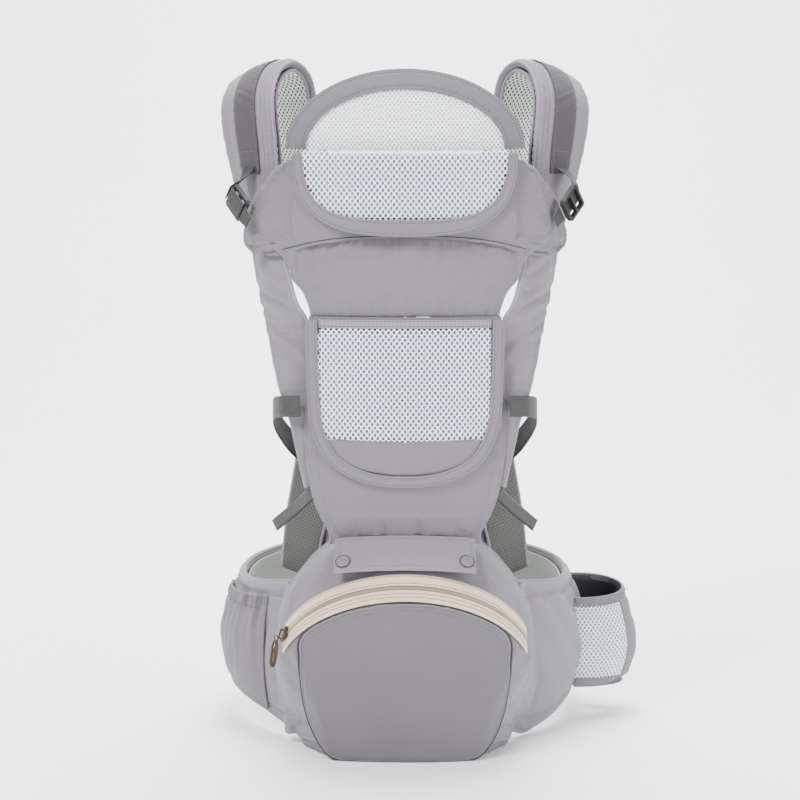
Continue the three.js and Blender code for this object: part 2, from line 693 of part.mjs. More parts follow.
const HEADREST_LOCK = point(156, -50, 541);
const SIDE_LOCK = point(82, 42, 284);

function buildAdjusters(side) {
  const name = sideName(side);
  const at = (x, y, z) => point(x * side, y, z);

  const lock = placed(ladderLock(25, 27, 4.4), side, HEADREST_LOCK, 0.9, 0, 0.9);
  piece(`headrest_lock_${name}`, lock, PLASTIC);
  const headWeb = [at(161, -34, 576), at(165, -39, 566), at(167, -41.5, 557)];
  const headRibbon = ribbon(headWeb, at(0.39, 0.49, -0.78), WEBBING.headrest, WEBBING.thick, 6);
  piece(`headrest_webbing_${name}`, headRibbon, WEBBING_GREY);

  const sideLock = placed(ladderLock(28, 27, 4.4), side, SIDE_LOCK, -0.5, 0.2);
  piece(`side_lock_${name}`, sideLock, PLASTIC);
  const run = [
    at(98, -76, 353),
    at(113, -71.5, 352),
    at(123, -53, 348),
    at(124, -24, 334),
    at(113, 6, 310),
    at(98, 23, 291),
  ];
  const sideRibbon = ribbon(run, point(0, 0.12, 1), WEBBING.narrow, WEBBING.thick, 14);
  piece(`side_webbing_${name}`, sideRibbon, WEBBING_GREY);
  const tail = [at(80, 38, 267), at(79, 31, 262), at(88, 22, 256), at(108, 18, 238), at(128, 18, 221)];
  const tailRibbon = ribbon(tail, at(0.25, 0.85, 0.35), WEBBING.narrow, WEBBING.thick, 10);
  piece(`side_tail_${name}`, tailRibbon, WEBBING_GREY);
}

// ---------------------------------------------------------------- buckles

/** A plate with rounded corners in the xz plane, centred on y = 0. */
function plateSolid(x, z, width, height, radius, thick) {
  const shape = new THREE.Shape();
  roundedRectangle(shape, x, z, width, height, radius);
  return solid(prism(shape, thick, X, Z, BACKWARD, point(0, thick / 2, 0)));
}

/** The two halves of a side-release buckle that closes along x. The female half is on the -x side. */
function buckleHalves({ width, length, thick }) {
  const half = width / 2;
  const shell = 1.8;
  const inside = thick / 2 - shell;
  const slotHeight = width - 8;
  const cavity = solid(block(point(-length * 0.62, -inside, -half + 3), point(1, inside, half - 3)));
  // The prongs show through a window in each side of the housing.
  const windowHeight = half * 0.55;
  const sideWindow = (low, high) =>
    solid(block(point(-length * 0.55, -inside, low), point(-length * 0.2, inside, high)));
  const female = plateSolid(-length, -half, length, width, 4, thick)
    .subtract(cavity)
    .subtract(sideWindow(-half - 1, -half + windowHeight))
    .subtract(sideWindow(half - windowHeight, half + 1))
    .subtract(plateSolid(-length + 3, -half + 4, 4.4, slotHeight, 1.2, thick * 2));

  const plateLength = length * PLATE_SHARE;
  const prongThick = thick / 2 - 2.4;
  const prong = (low, high) =>
    solid(block(point(-length * 0.5, -prongThick, low), point(2, prongThick, high)));
  const male = plateSolid(0.6, -half + 0.5, plateLength, width - 1, 3, thick - 1)
    .subtract(plateSolid(plateLength - 5.4, -half + 4, 3.6, slotHeight, 1.2, thick * 2))
    .add(prong(-half + 4.5, -half + 8.5))
    .add(prong(half - 8.5, half - 4.5))
    .add(prong(-1.8, 1.8));
  return { female, male };
}

/** Straight webbing along x at a buckle's height, between two places in x. */
function buckleWebbing(buckle, from, to, width) {
  const low = point(from, buckle.y - WEBBING.thick / 2, buckle.z - width / 2);
  const high = point(to, buckle.y + WEBBING.thick / 2, buckle.z + width / 2);
  return block(low, high);
}

/** Both halves of a buckle, and the webbing that runs from them to the given ends. */
function buildBuckle(name, buckle, webbingWidth, leftEnd, rightEnd) {
  const { female, male } = buckleHalves(buckle);
  const place = [0, buckle.y, buckle.z];
  piece(`${name}_female`, geometryOf(female.translate(place)), PLASTIC);
  piece(`${name}_male`, geometryOf(male.translate(place)), PLASTIC);
  const webbingName = name.replace(/_buckle$/, '') + '_webbing';
  const left = buckleWebbing(buckle, leftEnd, -buckle.length - GAP, webbingWidth);
  const right = buckleWebbing(buckle, buckle.length * PLATE_SHARE + 1, rightEnd, webbingWidth);
  piece(`${webbingName}_left`, left, WEBBING_GREY);
  piece(`${webbingName}_right`, right, WEBBING_GREY);
}

// ---------------------------------------------------------------- waist belt

const BELT_PLAN = [
  [121, 49],
  [149, 74],
  [168, 112],
  [174, 152],
  [166, 198],
  [138, 238],
  [98, 261],
  [58, 270],
];
const beltPath = smoothPath(BELT_PLAN.map(([x, y]) => point(x, y, 0)));
const beltHigh = (u) => keyed([[0, 157], [0.25, 149], [0.45, 150], [0.7, 156], [1, 162]], u);
const BELT_LOW = {
  left: [[0, 12], [0.2, 33], [0.45, 46], [0.7, 66], [1, 92]],
  right: [[0, 3], [0.2, 18], [0.45, 34], [0.7, 60], [1, 92]],
};

/** A point of a belt wing: u from seat to buckle, v from bottom to top, out from its middle. */
function beltPoint(side, u, v, out) {
  const p = beltPath.getPoint(u);
  const tangent = beltPath.getTangent(u);
  const outward = point(tangent.y, -tangent.x, 0).normalize();
  const lean = -9 * (v - 0.45) ** 2 * 4 + 4;
  const low = keyed(BELT_LOW[sideName(side)], u);
  return onSide(p.addScaledVector(outward, out + lean).setZ(low + (beltHigh(u) - low) * v), side);
}

function buildBelt(side) {
  const name = sideName(side);
  const wing = (u, v) => beltPoint(side, u, v, 0);
  piece(`belt_${name}`, slab(wing, 20, 5, BELT.thick), FABRIC);
  const inset = -(BELT.thick + BELT.lining) / 2 - 2 * GAP;
  const lining = (u, v) => beltPoint(side, 0.05 + 0.9 * u, 0.04 + 0.92 * v, inset);
  piece(`belt_lining_${name}`, slab(lining, 18, 5, BELT.lining), MESH_LINING);
}

function buildSidePocket() {
  const pocket = (u, v) => {
    const swell = 9 * Math.sin(Math.PI * u) * (0.45 + 0.55 * Math.sin(Math.PI * Math.min(v * 1.15, 1)));
    return beltPoint(LEFT, 0.07 + 0.33 * u, 0.04 + 0.86 * v, BELT.thick / 2 + 2.4 + swell);
  };
  piece('side_pocket', slab(pocket, 10, 5, 3), FABRIC);
}

/** One ring of the bottle pocket: flat against the belt and round outside. */
function bottleRing(z, reach, inset) {
  const ring = [];
  const count = 14;
  for (let i = 0; i <= count; i++) {
    const angle = Math.PI * (i / count - 0.5);
    const x = BOTTLE.x + inset + (reach - 2 * inset) * Math.cos(angle) ** 0.8;
    ring.push(point(x, BOTTLE.y + (BOTTLE.halfDepth - inset) * Math.sin(angle), z));
  }
  return ring;
}

const bottleReach = (z) => keyed([[34, 44], [50, 52], [75, 57], [105, 51], [138, 40]], z);

function buildBottlePocket() {
  const wallRings = (low, high, steps, outer, inner) => {
    const level = (i) => low + ((high - low) * i) / steps;
    const rings = [];
    for (let i = 0; i <= steps; i++) {
      rings.push(bottleRing(level(i), bottleReach(level(i)) + outer, -outer / 2));
    }
    for (let i = steps; i >= 0; i--) {
      rings.push(bottleRing(level(i), bottleReach(level(i)) - inner, inner / 2));
    }
    return rings;
  };
  const tube = (rings) => {
    const count = rings[0].length;
    const vertices = rings.flat();
    const triangles = [];
    for (let i = 0; i < rings.length; i++) {
      const next = (i + 1) % rings.length;
      for (let j = 0; j < count; j++) {
        const k = (j + 1) % count;
        triangles.push([i * count + j, i * count + k, next * count + k]);
        triangles.push([i * count + j, next * count + k, next * count + j]);
      }
    }
    return closedGeometry(vertices, triangles);
  };
  const { floor, top, wall, rim } = BOTTLE;
  const mesh = wallRings(floor + rim, top - rim - GAP, 5, 0, 2 * wall);
  piece('bottle_pocket_mesh', tube(mesh), MESH_WHITE);
  const binding = wallRings(top - rim, top, 1, 1, 2 * wall);
  piece('bottle_pocket_binding', tube(binding), FABRIC);
  const cup = [
    bottleRing(floor, bottleReach(floor), 0),
    bottleRing(floor + rim - GAP, bottleReach(floor + rim), 0),
    bottleRing(floor + rim - GAP, bottleReach(floor + rim) - 2 * wall, wall),
    bottleRing(floor + 2.2, bottleReach(floor) - 2 * wall, wall),
  ];
  piece('bottle_pocket_base', loft(cup), FABRIC);
}

/** A frame with a centre bar, through which the waist webbing is adjusted. */
function buildTriGlide() {
  const { x, width, height, wall } = TRI_GLIDE;
  const glide = new THREE.Shape();
  roundedRectangle(glide, -width / 2, -height / 2, width, height, 3);
  const passage = new THREE.Path();
  roundedRectangle(passage, wall - width / 2, wall - height / 2, width - 2 * wall, height - 2 * wall, 1.5);
  glide.holes.push(passage);
  const frame = solid(prism(glide, 3.4, X, Z, BACKWARD, point(0, 4.8, 0)));
  const bar = solid(block(point(-1.6, 2.4, wall - 24.5), point(1.6, 4.2, 24.5 - wall)));
  const place = [x, WAIST_BUCKLE.y, WAIST_BUCKLE.z];
  piece('waist_tri_glide', geometryOf(frame.add(bar).translate(place)), PLASTIC);
}

// ---------------------------------------------------------------- assembly

buildSeat();
buildZip();
buildFlap();
buildPanel();
buildPocket();
buildHeadSupport();
buildHood();
for (const side of [LEFT, RIGHT]) {
  buildStrap(side);
  buildAdjusters(side);
  buildBelt(side);
}
buildBuckle('back_clip', BACK_CLIP, 15.6, -72, 62);
buildSidePocket();
buildBottlePocket();
buildBuckle('waist_buckle', WAIST_BUCKLE, WEBBING.wide, -96, 104);
buildTriGlide();

export default carrier;
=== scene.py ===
"""Looks of the soft baby carrier: fabric, mesh, webbing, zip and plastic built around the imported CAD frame."""

import json
import math

import bmesh
import bpy
import numpy as np
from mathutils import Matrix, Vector
from mathutils.bvhtree import BVHTree
from mathutils.kdtree import KDTree


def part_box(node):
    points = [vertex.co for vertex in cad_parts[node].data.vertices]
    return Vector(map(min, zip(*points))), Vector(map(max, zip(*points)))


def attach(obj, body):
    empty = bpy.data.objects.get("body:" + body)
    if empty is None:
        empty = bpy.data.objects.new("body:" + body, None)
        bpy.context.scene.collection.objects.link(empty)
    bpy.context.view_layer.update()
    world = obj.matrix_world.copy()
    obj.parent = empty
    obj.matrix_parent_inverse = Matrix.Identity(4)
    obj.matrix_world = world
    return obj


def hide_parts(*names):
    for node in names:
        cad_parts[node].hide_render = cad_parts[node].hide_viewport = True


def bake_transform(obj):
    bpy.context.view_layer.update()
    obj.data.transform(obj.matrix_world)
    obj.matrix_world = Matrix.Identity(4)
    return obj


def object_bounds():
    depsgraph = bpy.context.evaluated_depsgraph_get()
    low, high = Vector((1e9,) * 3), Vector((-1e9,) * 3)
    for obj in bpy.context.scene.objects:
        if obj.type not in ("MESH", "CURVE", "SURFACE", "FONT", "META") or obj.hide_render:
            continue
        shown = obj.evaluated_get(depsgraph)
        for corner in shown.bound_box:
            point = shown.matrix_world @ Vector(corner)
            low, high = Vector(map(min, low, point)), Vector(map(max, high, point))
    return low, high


MM = 0.001
FRONT = np.array([0.0, -1.0, 0.0])
UP = np.array([0.0, 0.0, 1.0])
RIGHT = np.array([1.0, 0.0, 0.0])
SIDES = {"left": -1.0, "right": 1.0}

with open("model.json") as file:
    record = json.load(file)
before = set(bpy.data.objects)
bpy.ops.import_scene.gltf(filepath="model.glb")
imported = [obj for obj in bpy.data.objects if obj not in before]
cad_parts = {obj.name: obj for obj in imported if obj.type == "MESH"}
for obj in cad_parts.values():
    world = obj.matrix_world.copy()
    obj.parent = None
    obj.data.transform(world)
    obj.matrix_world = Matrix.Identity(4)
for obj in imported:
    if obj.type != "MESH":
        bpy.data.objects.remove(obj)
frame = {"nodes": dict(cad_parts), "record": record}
cad_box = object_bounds()


# ---------------------------------------------------------------- reading the frame

def cad_graph(node):
    """A CAD node's distinct corner points and its triangles."""
    mesh = frame["nodes"][node].data
    places = np.array([v.co for v in mesh.vertices])
    keys = np.round(places * 2e5).astype(np.int64)
    _, first, inverse = np.unique(keys, axis=0, return_index=True, return_inverse=True)
    triangles = np.array([p.vertices[:] for p in mesh.polygons])
    return places[first], inverse.ravel()[triangles]


def aligned(ring, previous, places):
    """The ring, turned and flipped so that each of its points follows the same point of the previous ring."""
    count = len(ring)
    options = [[ring[(shift + flip * i) % count] for i in range(count)] for flip in (1, -1) for shift in range(count)]
    return min(options, key=lambda option: np.linalg.norm(places[option] - places[previous], axis=1).sum())


def walk(places, triangles, start):
    """The rings of points of a sheet, in order, from its first ring to its far end."""
    level = {int(v): 0 for v in start}
    links = {}
    for tri in triangles:
        for v in tri:
            links.setdefault(int(v), set()).update(int(w) for w in tri)
    frontier = list(level)
    while frontier:
        following = []
        for v in frontier:
            for w in links[v]:
                if w not in level:
                    level[w] = level[v] + 1
                    following.append(w)
        frontier = following
    loops = {}
    for tri in triangles:
        a, b, c = (int(v) for v in tri)
        for p, q, other in ((a, b, c), (b, c, a), (c, a, b)):
            if level[p] == level[q] != level[other]:
                loop = loops.setdefault(level[p], {})
                loop.setdefault(p, set()).add(q)
                loop.setdefault(q, set()).add(p)
    order = []
    for step in sorted(loops):
        loop = loops[step]
        ring = [min(loop)]
        while len(ring) < len(loop):
            ahead = [w for w in loop[ring[-1]] if w not in ring]
            ring.append(min(ahead))
        order.append(aligned(ring, order[-1], places) if order else ring)
    return order


def cad_grid(node, across_count, outer, across, start=None):
    """A sheet-like CAD node as two grids of points, its outer face and its inner face: rows along it, columns
    across it. outer and across say which way the first row's outer face and its columns point. start gives each
    point a value, lowest at the node's first ring; a node that crosses x = 0 is read from there to both sides."""
    places, triangles = cad_graph(node)
    ring_size = 2 * (across_count + 1)

    def turned(ring):
        """Turned so that the outer face's columns come first, then the inner face's, reversed."""
        half = ring_size // 2
        gaps = [np.linalg.norm(places[ring[i]] - places[ring[i - 1]]) for i in range(ring_size)]
        shift = min(range(half), key=lambda i: gaps[i] + gaps[(i + half) % ring_size])
        ring = ring[shift:] + ring[:shift]
        first, second = places[ring[:half]], places[ring[half:]][::-1]
        if (first.mean(0) - second.mean(0)) @ outer < 0:
            ring = ring[half:] + ring[:half]
        if (places[ring[half - 1]] - places[ring[0]]) @ across < 0:
            ring = ring[:half][::-1] + ring[half:][::-1]
        return ring

    def strip(mask, first_ring):
        kept = triangles[mask[triangles].all(axis=1)]
        rings = walk(places, kept, first_ring)
        ordered = [turned(rings[0])]
        for ring in rings[1:]:
            ordered.append(aligned(ring, ordered[-1], places))
        return places[np.array(ordered)]

    if start is None:
        middle = np.where(np.abs(places[:, 0]) < 1e-5)[0]
        right = strip(places[:, 0] > -1e-5, middle)
        left = strip(places[:, 0] < 1e-5, middle)
        rows = np.concatenate([left[::-1], right[1:]])
    else:
        values = np.array([start(p) for p in places])
        rows = strip(np.ones(len(places), bool), np.argsort(values)[:ring_size])
    half = ring_size // 2
    return rows[:, :half], rows[:, half:][:, ::-1]


def refine(grid, count, axis):
    """A grid of points with its rows or columns respaced to a count, along smooth curves."""
    points = np.moveaxis(grid, axis, 0)
    last = len(points) - 1
    place = np.linspace(0, last, count)
    i = np.minimum(place.astype(int), last - 1)
    t = (place - i).reshape((-1,) + (1,) * (points.ndim - 1))
    before = np.where(t >= 0, points[np.maximum(i - 1, 0)], 0)
    a, b, after = points[i], points[i + 1], points[np.minimum(i + 2, last)]
    before = np.where((i == 0).reshape(t.shape), 2 * a - b, before)
    after = np.where((i == last - 1).reshape(t.shape), 2 * b - a, after)
    curve = 0.5 * (2 * a + (b - before) * t + (2 * before - 5 * a + 4 * b - after) * t**2
                   + (3 * a - before - 3 * b + after) * t**3)
    return np.moveaxis(curve, 0, axis)


def fine(grid, rows, columns):
    return refine(refine(grid, rows, 0), columns, 1)


def unit(vectors):
    return vectors / np.maximum(np.linalg.norm(vectors, axis=-1, keepdims=True), 1e-12)


def grid_normals(grid, towards):
    """Normals of a grid of points, turned to the same side as the vectors towards."""
    normals = unit(np.cross(np.gradient(grid, axis=0), np.gradient(grid, axis=1)))
    flips = np.sign((normals * towards).sum(-1, keepdims=True))
    return normals * np.where(flips == 0, 1, flips)


# ---------------------------------------------------------------- materials

def nodes_of(name):
    material = bpy.data.materials.new(name)
    material.use_nodes = True
    tree = material.node_tree
    return material, tree.nodes, tree.links, tree.nodes["Principled BSDF"]


def srgb(red, green, blue):
    """Linear colour of an 8-bit sRGB one."""
    def linear(value):
        value /= 255
        return value / 12.92 if value <= 0.04045 else ((value + 0.055) / 1.055) ** 2.4
    return (linear(red), linear(green), linear(blue), 1.0)


STUDIO_LIGHT = 3.2  # light that a plain white surface sends to the camera


def shows_as(red, green, blue):
    """The surface colour that shows as an 8-bit colour in this studio: a few stops under its light."""
    def surface(value):
        share = value / 255
        stops = (min(share, 0.75) - 0.694) / 0.115 + max(share - 0.75, 0) / 0.088
        return min(0.58 * 2**stops / STUDIO_LIGHT, 0.95)
    return (surface(red), surface(green), surface(blue), 1.0)


def scaled(color, factor):
    return tuple(min(c * factor, 1.0) for c in color[:3]) + (1.0,)


def math_node(nodes, links, operation, a, b=None):
    node = nodes.new("ShaderNodeMath")
    node.operation = operation
    for socket, value in zip(node.inputs, (a, b)):
        if value is None:
            continue
        if isinstance(value, (int, float)):
            socket.default_value = value
        else:
            links.new(value, socket)
    return node.outputs[0]


def mix_colors(nodes, links, factor, a, b):
    node = nodes.new("ShaderNodeMix")
    node.data_type = "RGBA"
    for socket, value in ((node.inputs[0], factor), (node.inputs[6], a), (node.inputs[7], b)):
        if isinstance(value, (int, float, tuple)):
            socket.default_value = value
        else:
            links.new(value, socket)
    return node.outputs[2]


def noise_value(nodes, links, vector, scale, detail=2.0):
    node = nodes.new("ShaderNodeTexNoise")
    node.inputs["Scale"].default_value = scale
    node.inputs["Detail"].default_value = detail
    links.new(vector, node.inputs["Vector"])
    return node.outputs["Fac"]


def bump(nodes, links, shader, layers):
    """Chains bump layers given as (height, distance in mm, strength)."""
    normal = None
    for height, distance, strength in layers:
        node = nodes.new("ShaderNodeBump")
        node.inputs["Distance"].default_value = distance * MM
        node.inputs["Strength"].default_value = strength
        links.new(height, node.inputs["Height"])
        if normal is not None:
            links.new(normal, node.inputs["Normal"])
        normal = node.outputs["Normal"]
    links.new(normal, shader.inputs["Normal"])


def weave_height(nodes, links, vector, pitch):
    """A plain weave in space: a product of sines along each pair of axes, so it shows on faces of any direction."""
    split = nodes.new("ShaderNodeSeparateXYZ")
    links.new(vector, split.inputs[0])
    rate = math.tau / pitch
    waves = [math_node(nodes, links, "SINE", math_node(nodes, links, "MULTIPLY", split.outputs[i], rate)) for i in range(3)]
    pairs = [math_node(nodes, links, "MULTIPLY", waves[i], waves[j]) for i, j in ((0, 1), (1, 2), (2, 0))]
    total = math_node(nodes, links, "ADD", math_node(nodes, links, "ADD", pairs[0], pairs[1]), pairs[2])
    return math_node(nodes, links, "MULTIPLY_ADD", total, 0.5)


def fabric(name, color, pitch=1.1, sheen=0.10, contrast=0.08):
    """Matt woven polyester: thread lattice, slubs, soft mottling, paler rubbed edges, and painted shade in its concave
    creases.
    """
    material, nodes, links, shader = nodes_of(name)
    place = nodes.new("ShaderNodeTexCoord").outputs["Object"]
    weave = weave_height(nodes, links, place, pitch * MM)
    slub = noise_value(nodes, links, place, 700, 3)
    mottle = noise_value(nodes, links, place, 14, 3)
    body = mix_colors(nodes, links, mottle, scaled(color, 1 - contrast), scaled(color, 1 + contrast))
    thread = math_node(nodes, links, "MULTIPLY", weave, 0.22)
    woven = mix_colors(nodes, links, thread, body, scaled(color, 1.30))
    edge = nodes.new("ShaderNodeNewGeometry").outputs["Pointiness"]
    ramp = nodes.new("ShaderNodeMapRange")
    ramp.inputs["From Min"].default_value = 0.52
    ramp.inputs["From Max"].default_value = 0.62
    ramp.inputs["To Max"].default_value = 0.22
    links.new(edge, ramp.inputs["Value"])
    worn = mix_colors(nodes, links, ramp.outputs[0], woven, scaled(color, 1.35))
    # Painted shade: where the surface is concave (low pointiness), the colour darkens towards 0.42 of itself, as if
    # shade fell in the creases.
    painted_crease_shade = nodes.new("ShaderNodeMapRange")
    painted_crease_shade.inputs["From Min"].default_value = 0.485
    painted_crease_shade.inputs["From Max"].default_value = 0.42
    painted_crease_shade.inputs["To Max"].default_value = 0.75
    links.new(edge, painted_crease_shade.inputs["Value"])
    links.new(mix_colors(nodes, links, painted_crease_shade.outputs[0], worn, scaled(color, 0.42)), shader.inputs["Base Color"])
    rough = nodes.new("ShaderNodeMapRange")
    rough.inputs["To Min"].default_value = 0.78
    rough.inputs["To Max"].default_value = 0.95
    links.new(slub, rough.inputs["Value"])
    links.new(rough.outputs[0], shader.inputs["Roughness"])
    shader.inputs["Sheen Weight"].default_value = sheen
    shader.inputs["Sheen Roughness"].default_value = 0.5
    shader.inputs["Specular IOR Level"].default_value = 0.25
    crease = noise_value(nodes, links, place, 55, 4)
    bump(nodes, links, shader, [(crease, 1.6, 0.22), (weave, 0.16, 0.5), (slub, 0.12, 0.35)])
    return material


def net_fabric(name, color, holes=False, pitch=4.2, dark=(0.12, 0.13, 0.13, 1), low=None):
    """Spacer mesh yarn, or a whole air-mesh face whose dimples follow the piece's own UV millimetres.
    low is a darker colour that it fades to near the ground: painted shade on its low parts."""
    material, nodes, links, shader = nodes_of(name)
    coords = nodes.new("ShaderNodeTexCoord")
    fuzz = noise_value(nodes, links, coords.outputs["Object"], 1500, 2)
    yarn = mix_colors(nodes, links, fuzz, scaled(color, 0.86), scaled(color, 1.08))
    layers = [(fuzz, 0.2, 0.4)]
    # Painted shade: from z 0.56 m down to 0.34 m the yarn and its holes fade to darker colours towards the ground.
    if low:
        height = nodes.new("ShaderNodeSeparateXYZ")
        links.new(coords.outputs["Object"], height.inputs[0])
        painted_shade_fade = nodes.new("ShaderNodeMapRange")
        painted_shade_fade.inputs["From Min"].default_value = 0.34
        painted_shade_fade.inputs["From Max"].default_value = 0.56
        links.new(height.outputs[2], painted_shade_fade.inputs["Value"])
        yarn = mix_colors(nodes, links, painted_shade_fade.outputs[0], low, yarn)
        dark = mix_colors(nodes, links, painted_shade_fade.outputs[0], scaled(low, 0.3), dark)
    if holes:
        split = nodes.new("ShaderNodeSeparateXYZ")
        links.new(coords.outputs["UV"], split.inputs[0])
        rate = math.tau / pitch
        along = math_node(nodes, links, "COSINE", math_node(nodes, links, "MULTIPLY", split.outputs[0], rate))
        across = math_node(nodes, links, "COSINE", math_node(nodes, links, "MULTIPLY", split.outputs[1], rate * 1.25))
        lattice = math_node(nodes, links, "MULTIPLY", along, across)
        hole = nodes.new("ShaderNodeMapRange")
        hole.interpolation_type = "SMOOTHSTEP"
        hole.inputs["From Min"].default_value = 0.10
        hole.inputs["From Max"].default_value = 0.34
        links.new(lattice, hole.inputs["Value"])
        yarn = mix_colors(nodes, links, hole.outputs[0], yarn, dark)
        layers.insert(0, (math_node(nodes, links, "MULTIPLY", hole.outputs[0], -1.0), 1.2, 0.9))
    links.new(yarn, shader.inputs["Base Color"])
    shader.inputs["Roughness"].default_value = 0.7
    shader.inputs["Sheen Weight"].default_value = 0.25
    bump(nodes, links, shader, layers)
    return material


def webbing_material(name, color, pitch=2.0):
    """Ribbed strap webbing: crosswise ribs and lengthwise cords, in the piece's own UV millimetres."""
    material, nodes, links, shader = nodes_of(name)
    coords = nodes.new("ShaderNodeTexCoord")
    split = nodes.new("ShaderNodeSeparateXYZ")
    links.new(coords.outputs["UV"], split.inputs[0])
    skew = math_node(nodes, links, "ABSOLUTE", math_node(nodes, links, "SINE", math_node(
        nodes, links, "MULTIPLY", split.outputs[1], math.pi / (2.2 * pitch))))
    phase = math_node(nodes, links, "ADD", split.outputs[0], skew)
    rib = math_node(nodes, links, "SINE", math_node(nodes, links, "MULTIPLY", phase, math.tau / pitch))
    cord = math_node(nodes, links, "SINE", math_node(nodes, links, "MULTIPLY", split.outputs[1], math.tau / (1.1 * pitch)))
    height = math_node(nodes, links, "MULTIPLY_ADD", math_node(nodes, links, "ADD", rib, cord), 0.25)
    fuzz = noise_value(nodes, links, coords.outputs["Object"], 900, 3)
    tone = math_node(nodes, links, "MULTIPLY_ADD", height, 0.5)
    shaded = mix_colors(nodes, links, tone, scaled(color, 0.72), scaled(color, 1.35))
    links.new(mix_colors(nodes, links, math_node(nodes, links, "MULTIPLY", fuzz, 0.15), shaded, scaled(color, 1.4)),
              shader.inputs["Base Color"])
    shader.inputs["Roughness"].default_value = 0.62
    shader.inputs["Sheen Weight"].default_value = 0.08
    bump(nodes, links, shader, [(height, 0.5, 0.8), (fuzz, 0.15, 0.4)])
    return material


def plastic(name, color, roughness=0.42, grain=1400):
    """Moulded plastic with a fine spark-eroded grain and slight flow marks."""
    material, nodes, links, shader = nodes_of(name)
    place = nodes.new("ShaderNodeTexCoord").outputs["Object"]
    pits = noise_value(nodes, links, place, grain, 4)
    flow = noise_value(nodes, links, place, 60, 2)
    links.new(mix_colors(nodes, links, flow, scaled(color, 0.85), scaled(color, 1.2)), shader.inputs["Base Color"])
    rough = nodes.new("ShaderNodeMapRange")
    rough.inputs["To Min"].default_value = roughness - 0.08
    rough.inputs["To Max"].default_value = roughness + 0.14
    links.new(flow, rough.inputs["Value"])
    links.new(rough.outputs[0], shader.inputs["Roughness"])
    bump(nodes, links, shader, [(pits, 0.06, 0.35)])
    return material


def metal(name, color):
    """Antique brass plating: darker in the hollows, brushed and worn bright at the edges."""
    material, nodes, links, shader = nodes_of(name)
    place = nodes.new("ShaderNodeTexCoord").outputs["Object"]
    patina = noise_value(nodes, links, place, 420, 4)
    edge = nodes.new("ShaderNodeNewGeometry").outputs["Pointiness"]
    ramp = nodes.new("ShaderNodeMapRange")
    ramp.inputs["From Min"].default_value = 0.5
    ramp.inputs["From Max"].default_value = 0.6
    links.new(edge, ramp.inputs["Value"])
    base = mix_colors(nodes, links, patina, scaled(color, 0.55), scaled(color, 1.2))
    links.new(mix_colors(nodes, links, ramp.outputs[0], base, scaled(color, 2.0)), shader.inputs["Base Color"])
    shader.inputs["Metallic"].default_value = 1.0
    rough = nodes.new("ShaderNodeMapRange")
    rough.inputs["To Min"].default_value = 0.25
    rough.inputs["To Max"].default_value = 0.5
    links.new(patina, rough.inputs["Value"])
    links.new(rough.outputs[0], shader.inputs["Roughness"])
    bump(nodes, links, shader, [(patina, 0.08, 0.3)])
    return material


def foam(name, color):
    """Expanded bead foam: rounded cells pressed together."""
    material, nodes, links, shader = nodes_of(name)
    place = nodes.new("ShaderNodeTexCoord").outputs["Object"]
    beads = nodes.new("ShaderNodeTexVoronoi")
    beads.inputs["Scale"].default_value = 260
    links.new(place, beads.inputs["Vector"])
    # Painted shade: each bead is darker towards its rim, in the crevices between beads.
    links.new(mix_colors(nodes, links, beads.outputs["Distance"], scaled(color, 1.05), scaled(color, 0.75)),
              shader.inputs["Base Color"])
    shader.inputs["Roughness"].default_value = 0.75
    bump(nodes, links, shader, [(math_node(nodes, links, "MULTIPLY", beads.outputs["Distance"], -1.0), 1.2, 0.6)])
    return material


